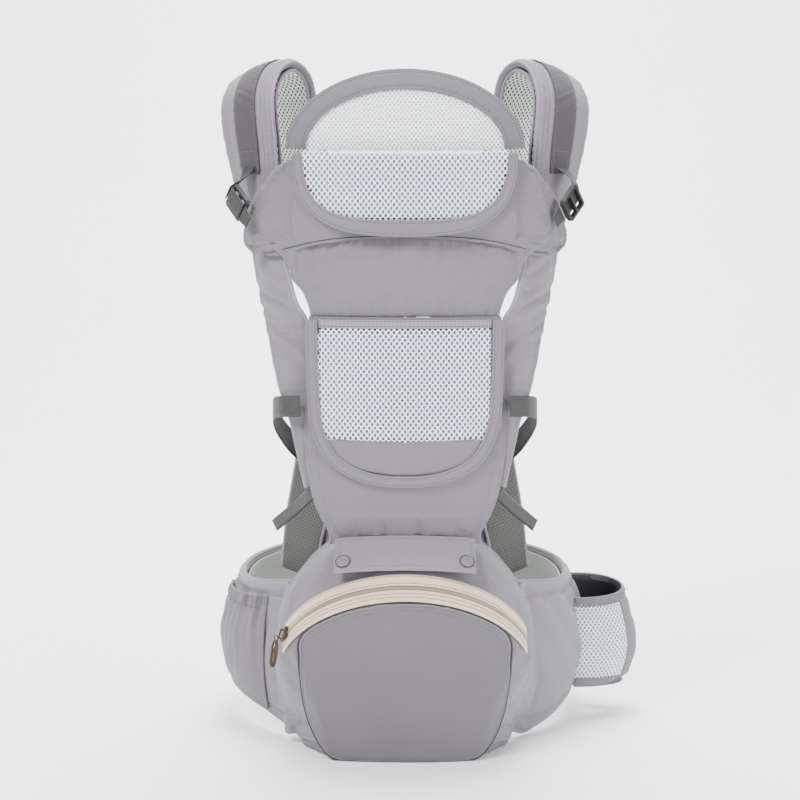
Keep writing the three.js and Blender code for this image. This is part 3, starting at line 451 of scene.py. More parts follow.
GREY = shows_as(169, 166, 171)
MATERIALS = {
    "fabric": fabric("carrier_fabric", GREY),
    # fabric_dark: the carrier fabric made darker to paint the shade on the seat's downward-facing front panel.
    "fabric_dark": fabric("carrier_fabric_painted_shade", shows_as(158, 155, 160)),
    # A lighter copy of the carrier fabric for the belt wings: painted light, standing in for more fill light on them.
    "belt_fabric_painted_light": fabric("belt_fabric_painted_light", shows_as(179, 176, 182)),
    "flap_fabric": fabric("flap_fabric", shows_as(180, 177, 182)),
    "fabric_strap": fabric("strap_fabric", shows_as(175, 172, 177)),
    "hood_fabric": fabric("hood_fabric", shows_as(160, 157, 162)),
    "band_fabric": fabric("band_fabric", shows_as(124, 120, 125), pitch=1.6),
    "binding": fabric("binding_tape", shows_as(184, 181, 186), pitch=1.4, contrast=0.05),
    "thread": fabric("sewing_thread", shows_as(172, 169, 174), pitch=0.5, sheen=0.2, contrast=0.04),
    "seam": fabric("seam_shadow", shows_as(122, 119, 124), contrast=0.05),
    "crease": fabric("crease_shadow", shows_as(96, 93, 98), contrast=0.05),
    "mesh_white": net_fabric("white_mesh", shows_as(244, 250, 255)),
    "mesh_back": net_fabric("mesh_backing", shows_as(192, 203, 218), holes=True, pitch=3.4, dark=shows_as(150, 162, 178)),
    "hood_back": net_fabric("hood_backing", shows_as(226, 235, 246), holes=True, pitch=3.4, dark=shows_as(188, 200, 215)),
    "mesh_lining": net_fabric("air_mesh", shows_as(216, 218, 216), holes=True, dark=shows_as(128, 131, 130)),
    # The strap lining's low ends fade to a darker olive grey: painted shade where they hang down between the panel and
    # the belt.
    "strap_mesh": net_fabric("strap_air_mesh", shows_as(226, 229, 226), holes=True, pitch=6.2, dark=shows_as(118, 120, 118),
                             low=shows_as(104, 102, 96)),
    "belt_lining": net_fabric("belt_air_mesh", shows_as(200, 203, 199), holes=True, pitch=3.4,
                              dark=shows_as(160, 163, 160)),
    "webbing": webbing_material("webbing_grey", shows_as(80, 78, 81)),
    "webbing_dark": webbing_material("webbing_dark", shows_as(52, 50, 53)),
    "zip_tape": webbing_material("zip_tape", shows_as(218, 210, 201), pitch=1.3),
    "zip_coil": plastic("zip_coil", shows_as(198, 190, 180), roughness=0.35),
    "zip_cord": plastic("zip_cord", shows_as(168, 152, 138), roughness=0.4),
    "brass": metal("antique_brass", srgb(66, 58, 50)),
    "buckle": plastic("buckle_plastic", shows_as(60, 59, 61)),
    "snap": plastic("snap_plastic", shows_as(170, 167, 172), roughness=0.4),
    "foam": foam("bead_foam", shows_as(215, 213, 207)),
}


# ---------------------------------------------------------------- making pieces

def add_mesh(name, vertices, faces, material, uv=None, smooth=True):
    """A new mesh object. uv, if given, has one pair per vertex, in millimetres."""
    mesh = bpy.data.meshes.new(name)
    mesh.from_pydata([tuple(v) for v in vertices], [], [tuple(int(i) for i in f) for f in faces])
    mesh.update()
    if uv is not None:
        layer = mesh.uv_layers.new(name="millimetres")
        index = np.zeros(len(mesh.loops), np.int32)
        mesh.loops.foreach_get("vertex_index", index)
        layer.data.foreach_set("uv", np.asarray(uv, np.float32)[index].ravel())
    if smooth:
        mesh.shade_smooth()
    mesh.materials.append(MATERIALS[material])
    piece = bpy.data.objects.new(name, mesh)
    bpy.context.scene.collection.objects.link(piece)
    return piece


def settle(piece, body, slot, *nodes):
    """Rides a piece on a body, or, for a bend between two bodies, only bakes it where it stands; hides the CAD nodes
    that it stands for. The slot is not used.
    """
    if nodes:
        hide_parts(*nodes)
    if isinstance(body, tuple):
        first, second, start, end = body
        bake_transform(piece)
        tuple(start)
        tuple(end)
    else:
        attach(piece, body)
    return piece


def coordinates(piece):
    co = np.zeros(len(piece.data.vertices) * 3)
    piece.data.vertices.foreach_get("co", co)
    return co.reshape(-1, 3)


def set_coordinates(piece, co):
    piece.data.vertices.foreach_set("co", np.asarray(co, np.float32).ravel())
    piece.data.update()


def closed_grid_faces(rows, columns):
    """Faces of a closed sheet whose top grid's points come first and then its bottom grid's."""
    size = rows * columns
    faces = []
    for i in range(rows - 1):
        for j in range(columns - 1):
            a = i * columns + j
            faces.append((a, a + columns, a + columns + 1, a + 1))
            faces.append((a + size, a + size + 1, a + size + columns + 1, a + size + columns))
    for i in range(rows - 1):
        for j, flip in ((0, True), (columns - 1, False)):
            a = i * columns + j
            quad = (a, a + columns, a + columns + size, a + size)
            faces.append(quad[::-1] if flip else quad)
    for j in range(columns - 1):
        for i, flip in ((0, False), (rows - 1, True)):
            a = i * columns + j
            quad = (a, a + 1, a + 1 + size, a + size)
            faces.append(quad[::-1] if flip else quad)
    return faces


def lengths(points):
    """Distance along a row of points, in millimetres."""
    steps = np.linalg.norm(np.diff(points, axis=0), axis=1)
    return np.concatenate([[0], np.cumsum(steps)]) / MM


def sheet(name, outer, inner, material, rows, columns, edge=0.3, roundness=4.0, end=None, relief=None, lift=0.0):
    """A closed padded sheet between two grids: full in the middle, thin at its borders by the share edge.
    relief(u, v) adds millimetres to the outer face, u and v being shares along and across."""
    top, bottom = fine(outer, rows, columns), fine(inner, rows, columns)
    middle, half = (top + bottom) / 2, (top - bottom) / 2
    u = np.linspace(0, 1, rows)[:, None]
    v = np.linspace(0, 1, columns)[None, :]
    across = edge + (1 - edge) * np.sqrt(np.maximum(1 - np.abs(2 * v - 1) ** roundness, 0))
    power = roundness * 2 if end is None else end
    along = edge + (1 - edge) * np.sqrt(np.maximum(1 - np.abs(2 * u - 1) ** power, 0))
    rise = (across * along)[..., None]
    direction = unit(half)
    extra = np.zeros((rows, columns, 1)) if relief is None else relief(u + 0 * v, v + 0 * u)[..., None] * MM
    top = middle + half * rise + direction * (extra + lift * MM)
    bottom = middle - half * rise + direction * lift * MM
    along_mm = np.repeat(lengths(middle[:, columns // 2])[:, None], columns, 1)
    across_mm = np.stack([lengths(row) for row in middle])
    uv = np.stack([along_mm, across_mm], -1).reshape(-1, 2)
    vertices = np.concatenate([top.reshape(-1, 3), bottom.reshape(-1, 3)])
    faces = closed_grid_faces(rows, columns)
    if np.cross(top[1, 0] - top[0, 0], top[0, 1] - top[0, 0]) @ direction[0, 0] < 0:
        faces = [f[::-1] for f in faces]
    GRIDS[name] = rows, columns
    return add_mesh(name, vertices, faces, material, np.concatenate([uv, uv]))


def tube(name, points, radius, material, sides=8, flat=1.0, normals=None):
    """A closed round cord along points, its radius in mm; flat below 1 presses it towards normals."""
    points = np.asarray(points, float)
    tangents = unit(np.gradient(points, axis=0))
    normal = np.cross(tangents[0], [0.3, 0.5, 0.81])
    vertices = []
    for k, (place, tangent) in enumerate(zip(points, tangents)):
        if normals is not None:
            normal = normals[k]
        normal = normal - tangent * (normal @ tangent)
        normal = normal / np.linalg.norm(normal)
        side = np.cross(tangent, normal)
        for i in range(sides):
            angle = math.tau * i / sides
            vertices.append(place + radius * MM * (flat * math.cos(angle) * normal + math.sin(angle) * side))
    faces = []
    for k in range(len(points) - 1):
        for i in range(sides):
            a, b = k * sides + i, k * sides + (i + 1) % sides
            faces.append((a, b, b + sides, a + sides))
    faces.append(tuple(range(sides))[::-1])
    faces.append(tuple(range((len(points) - 1) * sides, len(points) * sides)))
    uv = np.repeat(np.stack([lengths(points), np.zeros(len(points))], -1), sides, axis=0)
    return add_mesh(name, vertices, faces, material, uv)


def stitches(name, runs, material="thread", length=3.0, gap=1.5, radius=0.33, sink=0.05):
    """Sewn dashes along runs of (points, normals): each dash is a small spindle lying on the surface."""
    vertices, faces = [], []
    sides = 5
    shape = ((0.0, 0.35), (0.2, 1.0), (0.8, 1.0), (1.0, 0.35))
    for points, normals in runs:
        points, normals = np.asarray(points, float), np.asarray(normals, float)
        distance = lengths(points)
        count = int(distance[-1] // (length + gap))
        for k in range(count):
            starts = k * (length + gap) + gap / 2
            at = [starts + share * length for share, _ in shape]
            places = np.stack([np.interp(at, distance, points[:, axis]) for axis in range(3)], -1)
            normal = unit(np.array([np.interp(at[1], distance, normals[:, axis]) for axis in range(3)]))
            tangent = unit(places[-1] - places[0])
            side = unit(np.cross(tangent, normal))
            base = len(vertices)
            for place, (_, share) in zip(places, shape):
                for i in range(sides):
                    angle = math.tau * i / sides
                    offset = share * radius * (math.cos(angle) * normal * 0.8 + math.sin(angle) * side)
                    vertices.append(place + MM * (offset - normal * sink * (2 - share)))
            for ring in range(len(shape) - 1):
                for i in range(sides):
                    a, b = base + ring * sides + i, base + ring * sides + (i + 1) % sides
                    faces.append((a, a + sides, b + sides, b))
            faces.append(tuple(base + i for i in range(sides)))
            faces.append(tuple(base + (len(shape) - 1) * sides + i for i in reversed(range(sides))))
    return add_mesh(name, vertices, faces, material)


def puff(piece, pinned, pressure=4.0, cap=6.0, stretch=0.0, frames=20):
    """Inflates a closed piece by cloth simulation, holding the pinned points, and keeps the result as its mesh.
    cap is the most that a point may move, in mm: one number, or one for each point."""
    rest = coordinates(piece)
    pins = piece.vertex_groups.new(name="pins")
    pins.add([int(i) for i in pinned], 1.0, "REPLACE")
    cloth = piece.modifiers.new("Cloth", "CLOTH")
    settings = cloth.settings
    settings.quality = 5
    settings.mass = 0.3
    settings.tension_stiffness = settings.compression_stiffness = 12
    settings.bending_stiffness = 0.4
    settings.use_pressure = True
    settings.uniform_pressure_force = pressure
    settings.shrink_min = -stretch
    settings.vertex_group_mass = "pins"
    settings.effector_weights.gravity = 0
    scene = bpy.context.scene
    for step in range(1, frames + 1):
        scene.frame_set(step)
    evaluated = piece.evaluated_get(bpy.context.evaluated_depsgraph_get())
    moved = np.zeros(len(rest) * 3)
    evaluated.data.vertices.foreach_get("co", moved)
    piece.modifiers.remove(cloth)
    scene.frame_set(1)
    shift = moved.reshape(-1, 3) - rest
    size = np.maximum(np.linalg.norm(shift, axis=1, keepdims=True), 1e-12)
    most = np.broadcast_to(cap, len(rest))[:, None] * MM
    set_coordinates(piece, rest + shift * np.minimum(1, most / size))


def subdivide(piece, levels=1):
    modifier = piece.modifiers.new("Subdivision", "SUBSURF")
    modifier.levels = modifier.render_levels = levels
    bpy.context.view_layer.objects.active = piece
    bpy.context.view_layer.update()
    evaluated = piece.evaluated_get(bpy.context.evaluated_depsgraph_get())
    mesh = bpy.data.meshes.new_from_object(evaluated)
    piece.modifiers.clear()
    piece.data = mesh
    mesh.shade_smooth()
    return piece


# ---------------------------------------------------------------- places on a finished sheet

GRIDS = {}  # rows and columns of each sheet, by piece name


def faces_of(piece):
    """A sheet's outer and inner grids of points as they are now."""
    rows, columns = GRIDS[piece.name]
    co = coordinates(piece)
    return co[:rows * columns].reshape(rows, columns, 3), co[rows * columns:].reshape(rows, columns, 3)


def sample(grid, u, v):
    """The grid's value at shares u along its rows and v across its columns."""
    rows, columns = grid.shape[:2]
    a, b = np.clip(u, 0, 1) * (rows - 1), np.clip(v, 0, 1) * (columns - 1)
    i, j = np.minimum(a.astype(int), rows - 2), np.minimum(b.astype(int), columns - 2)
    s, t = (a - i)[..., None], (b - j)[..., None]
    near = grid[i, j] * (1 - t) + grid[i, j + 1] * t
    far = grid[i + 1, j] * (1 - t) + grid[i + 1, j + 1] * t
    return near * (1 - s) + far * s


def on_face(piece, u, v, lift=0.0):
    """Points and normals on a sheet's outer face."""
    top, bottom = faces_of(piece)
    u, v = np.broadcast_arrays(np.asarray(u, float), np.asarray(v, float))
    normal = unit(sample(grid_normals(top, top - bottom), u, v))
    return sample(top, u, v) + normal * lift * MM, normal


def rim(piece, side):
    """The middle line of one border of a sheet."""
    top, bottom = faces_of(piece)
    pick = {"start": np.s_[0], "end": np.s_[-1], "low": np.s_[:, 0], "high": np.s_[:, -1]}[side]
    return (top[pick] + bottom[pick]) / 2


def around(piece, trim=0.0):
    """The closed middle line round a sheet's four borders."""
    top, bottom = faces_of(piece)
    middle = (top + bottom) / 2
    return np.concatenate([middle[:, 0], middle[-1, 1:], middle[::-1, -1][1:], middle[0, ::-1][1:]])


def pins(piece, rims=1, rows_at=(), columns_at=()):
    """Point numbers to hold in a cloth simulation: the borders, and seams at the given shares."""
    rows, columns = GRIDS[piece.name]
    grid = np.arange(rows * columns * 2).reshape(2, rows, columns)
    held = [grid[:, :rims], grid[:, -rims:], grid[:, :, :rims], grid[:, :, -rims:]]
    held += [grid[:, round(u * (rows - 1))] for u in rows_at]
    held += [grid[:, :, round(v * (columns - 1))] for v in columns_at]
    return np.unique(np.concatenate([part.ravel() for part in held]))


def limits(piece, most, covered):
    """The most that each point of a sheet may move: less on the parts that another layer covers. Each covered part
    is (face, low u, high u, low v, high v, limit in mm), the outer face being 0 and the inner face 1."""
    rows, columns = GRIDS[piece.name]
    cap = np.full((2, rows, columns), float(most))
    for face, low_u, high_u, low_v, high_v, limit in covered:
        u = slice(int(low_u * (rows - 1)), int(high_u * (rows - 1)) + 1)
        v = slice(int(low_v * (columns - 1)), int(high_v * (columns - 1)) + 1)
        cap[face, u, v] = limit
    return cap.ravel()


def longer(grid, amount):
    """A grid whose last column is carried on by some millimetres, along its own direction."""
    step = unit(grid[:, -1] - grid[:, -2])
    return np.concatenate([grid, (grid[:, -1] + step * amount * MM)[:, None]], axis=1)


def groove(x, at, width, depth):
    """A seam's furrow: depth mm at one share of a sheet."""
    return -depth * np.exp(-((x - at) / width) ** 2)


def ripple(x, seed, parts=5, low=0.6, high=1.8):
    """An uneven wave about 1 high with a wavelength of about 1: the folds of gathered cloth."""
    draw = np.random.RandomState(seed)
    total = 0
    for _ in range(parts):
        total = total + np.sin(math.tau * (x * draw.uniform(low, high) + draw.uniform(0, 1)))
    return total / math.sqrt(parts)


def folds(points, seed, size, height):
    """Soft random folds in space, height mm high and about size mm apart."""
    draw = np.random.RandomState(seed)
    total = 0
    for _ in range(7):
        direction = unit(draw.normal(size=3))
        total = total + np.sin(points @ direction * math.tau / (size * MM * draw.uniform(0.6, 1.7)) + draw.uniform(0, 6.3))
    return total * height / math.sqrt(7)


def stitched(name, piece, lines, body, slot="fabric", **size):
    """Rows of stitches on a sheet's outer face. Each line is a pair of shares, (u, v), arrays or numbers."""
    runs = [on_face(piece, u, v) for u, v in lines]
    return settle(stitches(name, runs, **size), body, slot)


ALONG = np.linspace(0, 1, 160)


def inset_loop(low_u, high_u, low_v, high_v):
    """Four straight lines that make a rectangle in a sheet's shares."""
    u, v = low_u + (high_u - low_u) * ALONG, low_v + (high_v - low_v) * ALONG
    return [(u, low_v), (u, high_v), (low_u, v), (high_u, v)]


def piping(name, points, radius, body, material="binding", slot="fabric"):
    return settle(tube(name, points, radius, material), body, slot)


def keep_cad(node, material, bevel=0.4):
    """Shows a CAD node itself, with a real material and rounded edges."""
    shown = frame["nodes"][node]
    shown.data.materials.clear()
    shown.data.materials.append(MATERIALS[material])
    if "custom_normal" in shown.data.attributes:
        shown.data.attributes.remove(shown.data.attributes["custom_normal"])
    shown.data.shade_smooth()
    weld = shown.modifiers.new("Weld", "WELD")
    weld.merge_threshold = 1e-5
    edge = shown.modifiers.new("Bevel", "BEVEL")
    edge.width = bevel * MM
    edge.segments = 3
    edge.limit_method = "ANGLE"
    edge.angle_limit = math.radians(35)
    edge.harden_normals = True


def lathe(name, profile, centre, axis, material, segments=40):
    """A turned piece: profile is (radius, height) in mm from its axis' foot to its top."""
    axis = unit(np.asarray(axis, float))
    side = unit(np.cross(axis, [0.0, 0.0, 1.0] if abs(axis[2]) < 0.9 else [1.0, 0.0, 0.0]))
    other = np.cross(axis, side)
    vertices, faces = [], []
    for radius, height in profile:
        for i in range(segments):
            angle = math.tau * i / segments
            around_axis = radius * (math.cos(angle) * side + math.sin(angle) * other)
            vertices.append(np.asarray(centre) + MM * (around_axis + height * axis))
    for k in range(len(profile) - 1):
        for i in range(segments):
            a, b = k * segments + i, k * segments + (i + 1) % segments
            faces.append((a, b, b + segments, a + segments))
    faces.append(tuple(range(segments))[::-1])
    faces.append(tuple(range((len(profile) - 1) * segments, len(profile) * segments)))
    return add_mesh(name, vertices, faces, material)


# ---------------------------------------------------------------- nets

def net(name, place, a_range, b_range, pitch, hole, material="mesh_white"):
    """A knitted net: a staggered lattice of six-sided cells with oval holes and raised threads.
    place(a, b) gives the point and normal at millimetres a and b, or None outside the net."""
    wide, high = pitch
    side = (high**2 - wide**2 / 4) / (2 * high)
    tip = (wide**2 / 4 + high**2) / (2 * high)
    corners = [(wide / 2, -side), (wide / 2, side), (0, tip), (-wide / 2, side), (-wide / 2, -side), (0, -tip)]
    outline = []
    for k in range(6):
        (x0, y0), (x1, y1) = corners[k], corners[(k + 1) % 6]
        outline += [(x0, y0), ((x0 + x1) / 2, (y0 + y1) / 2)]
    angles = [math.atan2(y, x) for x, y in outline]
    ring = [(hole[0] / 2 * math.cos(angle), hole[1] / 2 * math.sin(angle)) for angle in angles]
    middle = [((x + p) / 2, (y + q) / 2) for (x, y), (p, q) in zip(outline, ring)]
    levels = [(outline, 0.05), (middle, 0.34), (ring, 0.02), (ring, -0.5)]
    vertices, faces, uv = [], [], []
    for row in range(int(b_range[0] // high), int(b_range[1] // high) + 2):
        for column in range(int(a_range[0] // wide) - 1, int(a_range[1] // wide) + 2):
            a, b = (column + 0.5 * (row % 2)) * wide, row * high
            centre = place(a, b)
            if centre is None:
                continue
            spots = [[place(a + x, b + y) or centre for x, y in outline], [place(a + x, b + y) or centre for x, y in ring]]
            base = len(vertices)
            for points, height in levels:
                for k, (x, y) in enumerate(points):
                    share = math.hypot(x, y) / max(math.hypot(*outline[k]), 1e-9)
                    (edge, edge_normal), (mid, mid_normal) = spots[0][k], centre
                    normal = edge_normal * share + mid_normal * (1 - share)
                    vertices.append(mid + (edge - mid) * share + normal * height * MM)
                    uv.append((a + x, b + y))
            for level in range(3):
                for k in range(12):
                    p, q = base + level * 12 + k, base + level * 12 + (k + 1) % 12
                    faces.append((p, q, q + 12, p + 12))
    return add_mesh(name, vertices, faces, material, uv)


def front_of(node, reach=4.0):
    """A function that gives the point and normal of a CAD node's front at x and z in mm, and just past its rim."""
    places, triangles = cad_graph(node)
    tree = BVHTree.FromPolygons([tuple(p) for p in places], [tuple(int(i) for i in t) for t in triangles])

    def place(x, z):
        hit, normal, _, _ = tree.ray_cast(Vector((x * MM, -1.0, z * MM)), Vector((0, 1, 0)))
        if hit is None:
            hit, normal, _, distance = tree.find_nearest(Vector((x * MM, places[:, 1].mean(), z * MM)))
            beside = math.hypot(hit.x - x * MM, hit.z - z * MM)
            if beside > reach * MM:
                return None
            return np.array([x * MM, hit.y, z * MM]), FRONT
        normal = np.array(normal)
        return np.array(hit), normal if normal[1] < 0 else -normal

    return place


def window(name, node, body, pitch, hole, reach=4.0):
    """A net over a CAD window."""
    low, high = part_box(node)
    spans = (low.x / MM, high.x / MM), (low.z / MM, high.z / MM)
    settle(net(name, front_of(node, reach), *spans, pitch, hole), body, "mesh_white", node)


# ---------------------------------------------------------------- hip seat

def seat_shell():
    """The seat's outer form with soft edges: the hull of the CAD cover, remeshed, relaxed and widened near its base at
    the front.
    """
    mesh = bpy.data.meshes.new("seat_cover_cloth")
    places, _ = cad_graph("seat_cover")
    maker = bmesh.new()
    for place in places:
        maker.verts.new(place)
    hull = bmesh.ops.convex_hull(maker, input=maker.verts)
    loose = [v for v in hull["geom_interior"] if isinstance(v, bmesh.types.BMVert)]
    bmesh.ops.delete(maker, geom=loose, context="VERTS")
    maker.to_mesh(mesh)
    maker.free()
    seat = bpy.data.objects.new("seat_cover_cloth", mesh)
    bpy.context.scene.collection.objects.link(seat)
    remesh = seat.modifiers.new("Remesh", "REMESH")
    remesh.mode = "VOXEL"
    remesh.voxel_size = 3.6 * MM
    smooth = seat.modifiers.new("Smooth", "SMOOTH")
    smooth.factor = 0.5
    smooth.iterations = 7
    evaluated = seat.evaluated_get(bpy.context.evaluated_depsgraph_get())
    seat.data = bpy.data.meshes.new_from_object(evaluated)
    seat.modifiers.clear()
    places = coordinates(seat)
    low_down = np.clip(1 - places[:, 2] / (60 * MM), 0, 1) ** 1.5
    places[:, 0] *= 1 + 0.16 * low_down * (places[:, 1] < 0.02)
    set_coordinates(seat, places)
    seat.data.shade_smooth()
    seat.data.materials.clear()
    seat.data.materials.append(MATERIALS["fabric"])
    return seat


def surface_tree(piece):
    return BVHTree.FromPolygons([v.co[:] for v in piece.data.vertices], [p.vertices[:] for p in piece.data.polygons])


def drop_on(tree, points, lift=0.0):
    """The nearest places on a surface to some points, and its normals there."""
    found = [tree.find_nearest(Vector(p)) for p in points]
    normals = np.array([hit[1][:] for hit in found])
    return np.array([hit[0][:] for hit in found]) + normals * lift * MM, normals


def hull_outline(node, count):
    """The outline of a CAD node seen from the front, as evenly spaced (x, z) points from its lowest left corner."""
    places, _ = cad_graph(node)
    flat = sorted({(round(p[0], 5), round(p[2], 5)) for p in places})
    chains = []
    for run in (flat, flat[::-1]):
        chain = []
        for p in run:
            while len(chain) > 1 and np.cross(np.subtract(chain[-1], chain[-2]), np.subtract(p, chain[-2])) <= 1e-9:
                chain.pop()
            chain.append(p)
        chains += chain[:-1]
    loop = np.array(chains + chains[:1])
    distance = np.concatenate([[0], np.cumsum(np.linalg.norm(np.diff(loop, axis=0), axis=1))])
    at = np.linspace(0, distance[-1], count, endpoint=False)
    return np.stack([np.interp(at, distance, loop[:, k]) for k in range(2)], -1)


def build_seat():
    seat = seat_shell()
    places = coordinates(seat)
    normals = np.array([v.normal[:] for v in seat.data.vertices])
    low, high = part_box("seat_front_panel")
    tape = cad_graph("zip_tape_lower")[0], cad_graph("zip_tape_upper")[0], cad_graph("zip_coil")[0]
    tape_tree = kdtree_of(np.concatenate(tape))
    near_tape = np.array([tape_tree.find(p)[2] for p in places]) < 9 * MM
    back = places[:, 1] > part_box("seat_cover")[1].y - 6 * MM
    base = places[:, 2] < 7 * MM
    ahead = (np.abs(places[:, 0]) < high.x) & (places[:, 2] < high.z) & (places[:, 1] < 0)
    held = near_tape | back | base | ahead
    puff(seat, np.where(held)[0], pressure=3.0, cap=3.5, stretch=0.02)
    rumple = folds(coordinates(seat), 11, 46, 0.5) * np.where(near_tape | base, 0.15, 1.0)
    set_coordinates(seat, coordinates(seat) + normals * rumple[:, None] * MM)
    settle(seat, "carrier", "fabric", "seat_cover")
    tree = surface_tree(seat)
    build_front_panel(tree)
    build_seat_seams(tree)
    keep_cad("seat_core", "foam", 1.5)
    build_back_pad()
    return tree


def kdtree_of(points):
    tree = KDTree(len(points))
    for i, p in enumerate(points):
        tree.insert(Vector(p), i)
    tree.balance()
    return tree


def rounded(loop, spread):
    """A closed outline with its corners worn round over a few points."""
    weights = [(k, math.exp(-(k / spread) ** 2)) for k in range(-2 * spread, 2 * spread + 1)]
    total = sum(weight for _, weight in weights)
    return sum(np.roll(loop, k, axis=0) * weight for k, weight in weights) / total


def build_front_panel(tree):
    """The front panel, in a darker copy of the carrier fabric that paints the shade on this downward-facing face: a
    thin pad that follows the seat's nose, turned in at its piped border.
    """
    count, rings = 220, 26
    border = hull_outline("seat_front_panel", count)
    border[:, 0] *= np.interp(border[:, 1], np.array([0, 17, 47, 83, 110]) * MM, [1.32, 1.22, 1.11, 1.03, 1])
    border = rounded(border, 5)
    centre = border.mean(0)
    vertices = []
    for k in range(rings + 1):
        share = (k / rings) ** 0.75
        for x, z in centre + (border - centre) * share * 0.992:
            hit, normal, _, _ = tree.ray_cast(Vector((x, -1, max(z, 2 * MM))), Vector((0, 1, 0)))
            if hit is None:
                hit, normal, _, _ = tree.find_nearest(Vector((x, -50 * MM, max(z, 2 * MM))))
            edge = min((1 - share) * 100 / 7, 1)
            height = 0.8 + 2.4 * math.sqrt(max(1 - (1 - edge) ** 2, 0))
            vertices.append(np.array(hit) + np.array(normal) * height * MM)
    vertices = np.array(vertices)
    vertices += np.array([0, -1, 0]) * (folds(vertices, 5, 60, 0.35) * MM)[:, None]
    back = vertices[-count:] + np.array([0, 4 * MM, 0])
    vertices = np.concatenate([vertices, back])
    faces = []
    for k in range(1, rings + 1 + 1):
        for i in range(count):
            a, b = k * count + i, k * count + (i + 1) % count
            faces.append((a - count, b - count, b, a) if k > 1 else (a, b, 0))
    faces = [f for f in faces if len(set(f)) == len(f)]
    faces = [f if len(f) == 4 else (0, f[1], f[0]) for f in faces]
    # Painted shade: the panel takes the darkened copy of the carrier fabric.
    panel = add_mesh("seat_front_pad", vertices, faces, "fabric_dark")
    bmesh_normals(panel)
    settle(panel, "carrier", "fabric_dark", "seat_front_panel")
    edge, normals = drop_on(tree, vertices[rings * count:(rings + 1) * count], 0.9)
    edge[:, 2] = np.maximum(edge[:, 2], 1.7 * MM)
    loop = np.concatenate([edge, edge[:2]])
    settle(tube("seat_front_piping", loop, 1.5, "fabric"), "carrier", "fabric")
    # A thin dark tube just outside the piping: a painted shadow line in the crease beside the seam.
    middle = edge.mean(0)
    crease = drop_on(tree, edge + unit(edge - middle) * 2.2 * MM, 1.9)[0]
    crease[:, 2] = np.maximum(crease[:, 2], 1.3 * MM)
    settle(tube("seat_front_crease_shadow", np.concatenate([crease, crease[:2]]), 1.1, "crease"), "carrier", "fabric")
    inner = vertices[(rings - 2) * count:(rings - 1) * count]
    settle(stitches("seat_front_stitches", [(inner, normals)]), "carrier", "fabric")


def bmesh_normals(piece):
    """Turns a piece's faces the same way, outwards."""
    maker = bmesh.new()
    maker.from_mesh(piece.data)
    bmesh.ops.remove_doubles(maker, verts=maker.verts, dist=1e-7)
    bmesh.ops.recalc_face_normals(maker, faces=maker.faces)
    maker.to_mesh(piece.data)
    maker.free()
    piece.data.shade_smooth()


def build_seat_seams(tree):
    """The piped edge that runs up the seat's back corners and over its top."""
    low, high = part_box("seat_cover")
    back = high.y - 5 * MM
    half = high.x
    angles = np.linspace(-0.52 * math.pi, 0.52 * math.pi, 140)
    arch = [(half * math.sin(a) * 1.1, back, high.z * (0.36 + 0.70 * math.cos(a))) for a in angles]
    line, normals = drop_on(tree, arch, 0.5)
    settle(tube("seat_back_piping", line, 1.5, "binding"), "carrier", "fabric")


def build_back_pad():
    outer, inner = cad_grid("seat_back_pad", 6, -FRONT, UP)

    def relief(u, v):
        rib = -1.6 * np.exp(-(((v * 5) % 1 - 0.5) / 0.07) ** 2)
        return rib * (np.abs(v - 0.5) < 0.42)

    pad = sheet("seat_back_padding", outer, inner, "mesh_lining", 91, 61, edge=0.25, relief=relief)
    puff(pad, pins(pad, 2), cap=3)
    settle(pad, "carrier", "mesh_lining", "seat_back_pad")
    piping("seat_back_pad_binding", around(pad), 2.0, "carrier")


# ---------------------------------------------------------------- zip and flap

ZIP_UP = np.array([0.0, -math.sin(math.radians(39.7)), math.cos(math.radians(39.7))])
ZIP_ALONG = np.array([0.0, math.cos(math.radians(39.7)), math.sin(math.radians(39.7))])


def teeth(name, line, across, normals, length, pitch, radius, material="zip_coil"):
    """Coil turns across a zip's middle line."""
    distance = lengths(line)
    at = np.arange(pitch / 2, distance[-1], pitch)

    def along(values):
        return np.stack([np.interp(at, distance, values[:, k]) for k in range(3)], -1)

    runs = []
    for place, side, normal in zip(along(line), unit(along(across)), unit(along(normals))):
        ends = np.stack([place - side * length / 2 * MM, place, place + side * length / 2 * MM])
        ends[1] += normal * 0.5 * MM
        runs.append((ends, np.stack([normal] * 3)))
    return stitches(name, runs, material, length=length * 0.98, gap=0.02, radius=radius, sink=0)


def build_zip():
    for name, lines in (("zip_tape_lower", (0.35, 0.68)), ("zip_tape_upper", (0.2, 0.85))):
        outer, inner = cad_grid(name, 1, ZIP_UP, ZIP_ALONG)
        relief = lambda u, v: 0.25 * ripple(u * 26, 3) * (1 - np.abs(2 * v - 1))
        tape = sheet(f"{name}_cloth", outer, inner, "zip_tape", 181, 13, edge=0.8, relief=relief, lift=0.3)
        settle(tape, "carrier", "zip_tape", name)
        for k, share in enumerate(lines):
            line = on_face(tape, ALONG, share)[0]
            settle(tube(f"{name}_cord_{k}", line, 0.35, "zip_cord"), "carrier", "zip_tape")
    outer, inner = cad_grid("zip_coil", 1, ZIP_UP, ZIP_ALONG)
    line = refine(outer.mean(1), 260, 0)
    across = refine(outer[:, 1] - outer[:, 0], 260, 0)
    normal = refine((outer - inner).mean(1), 260, 0)
    coil = teeth("zip_coil_turns", line - unit(normal) * 0.9 * MM, across, normal, 4.3, 1.35, 0.62)
    settle(coil, "carrier", "zip_coil", "zip_coil")
    for side, name in ((-1, "lower"), (1, "upper")):
        edge = line + unit(across) * side * 2.1 * MM - unit(normal) * 0.8 * MM
        settle(tube(f"zip_cord_{name}", edge, 0.5, "zip_cord"), "carrier", "zip_coil")
    keep_cad("zip_slider", "brass", 0.5)
    build_pull()


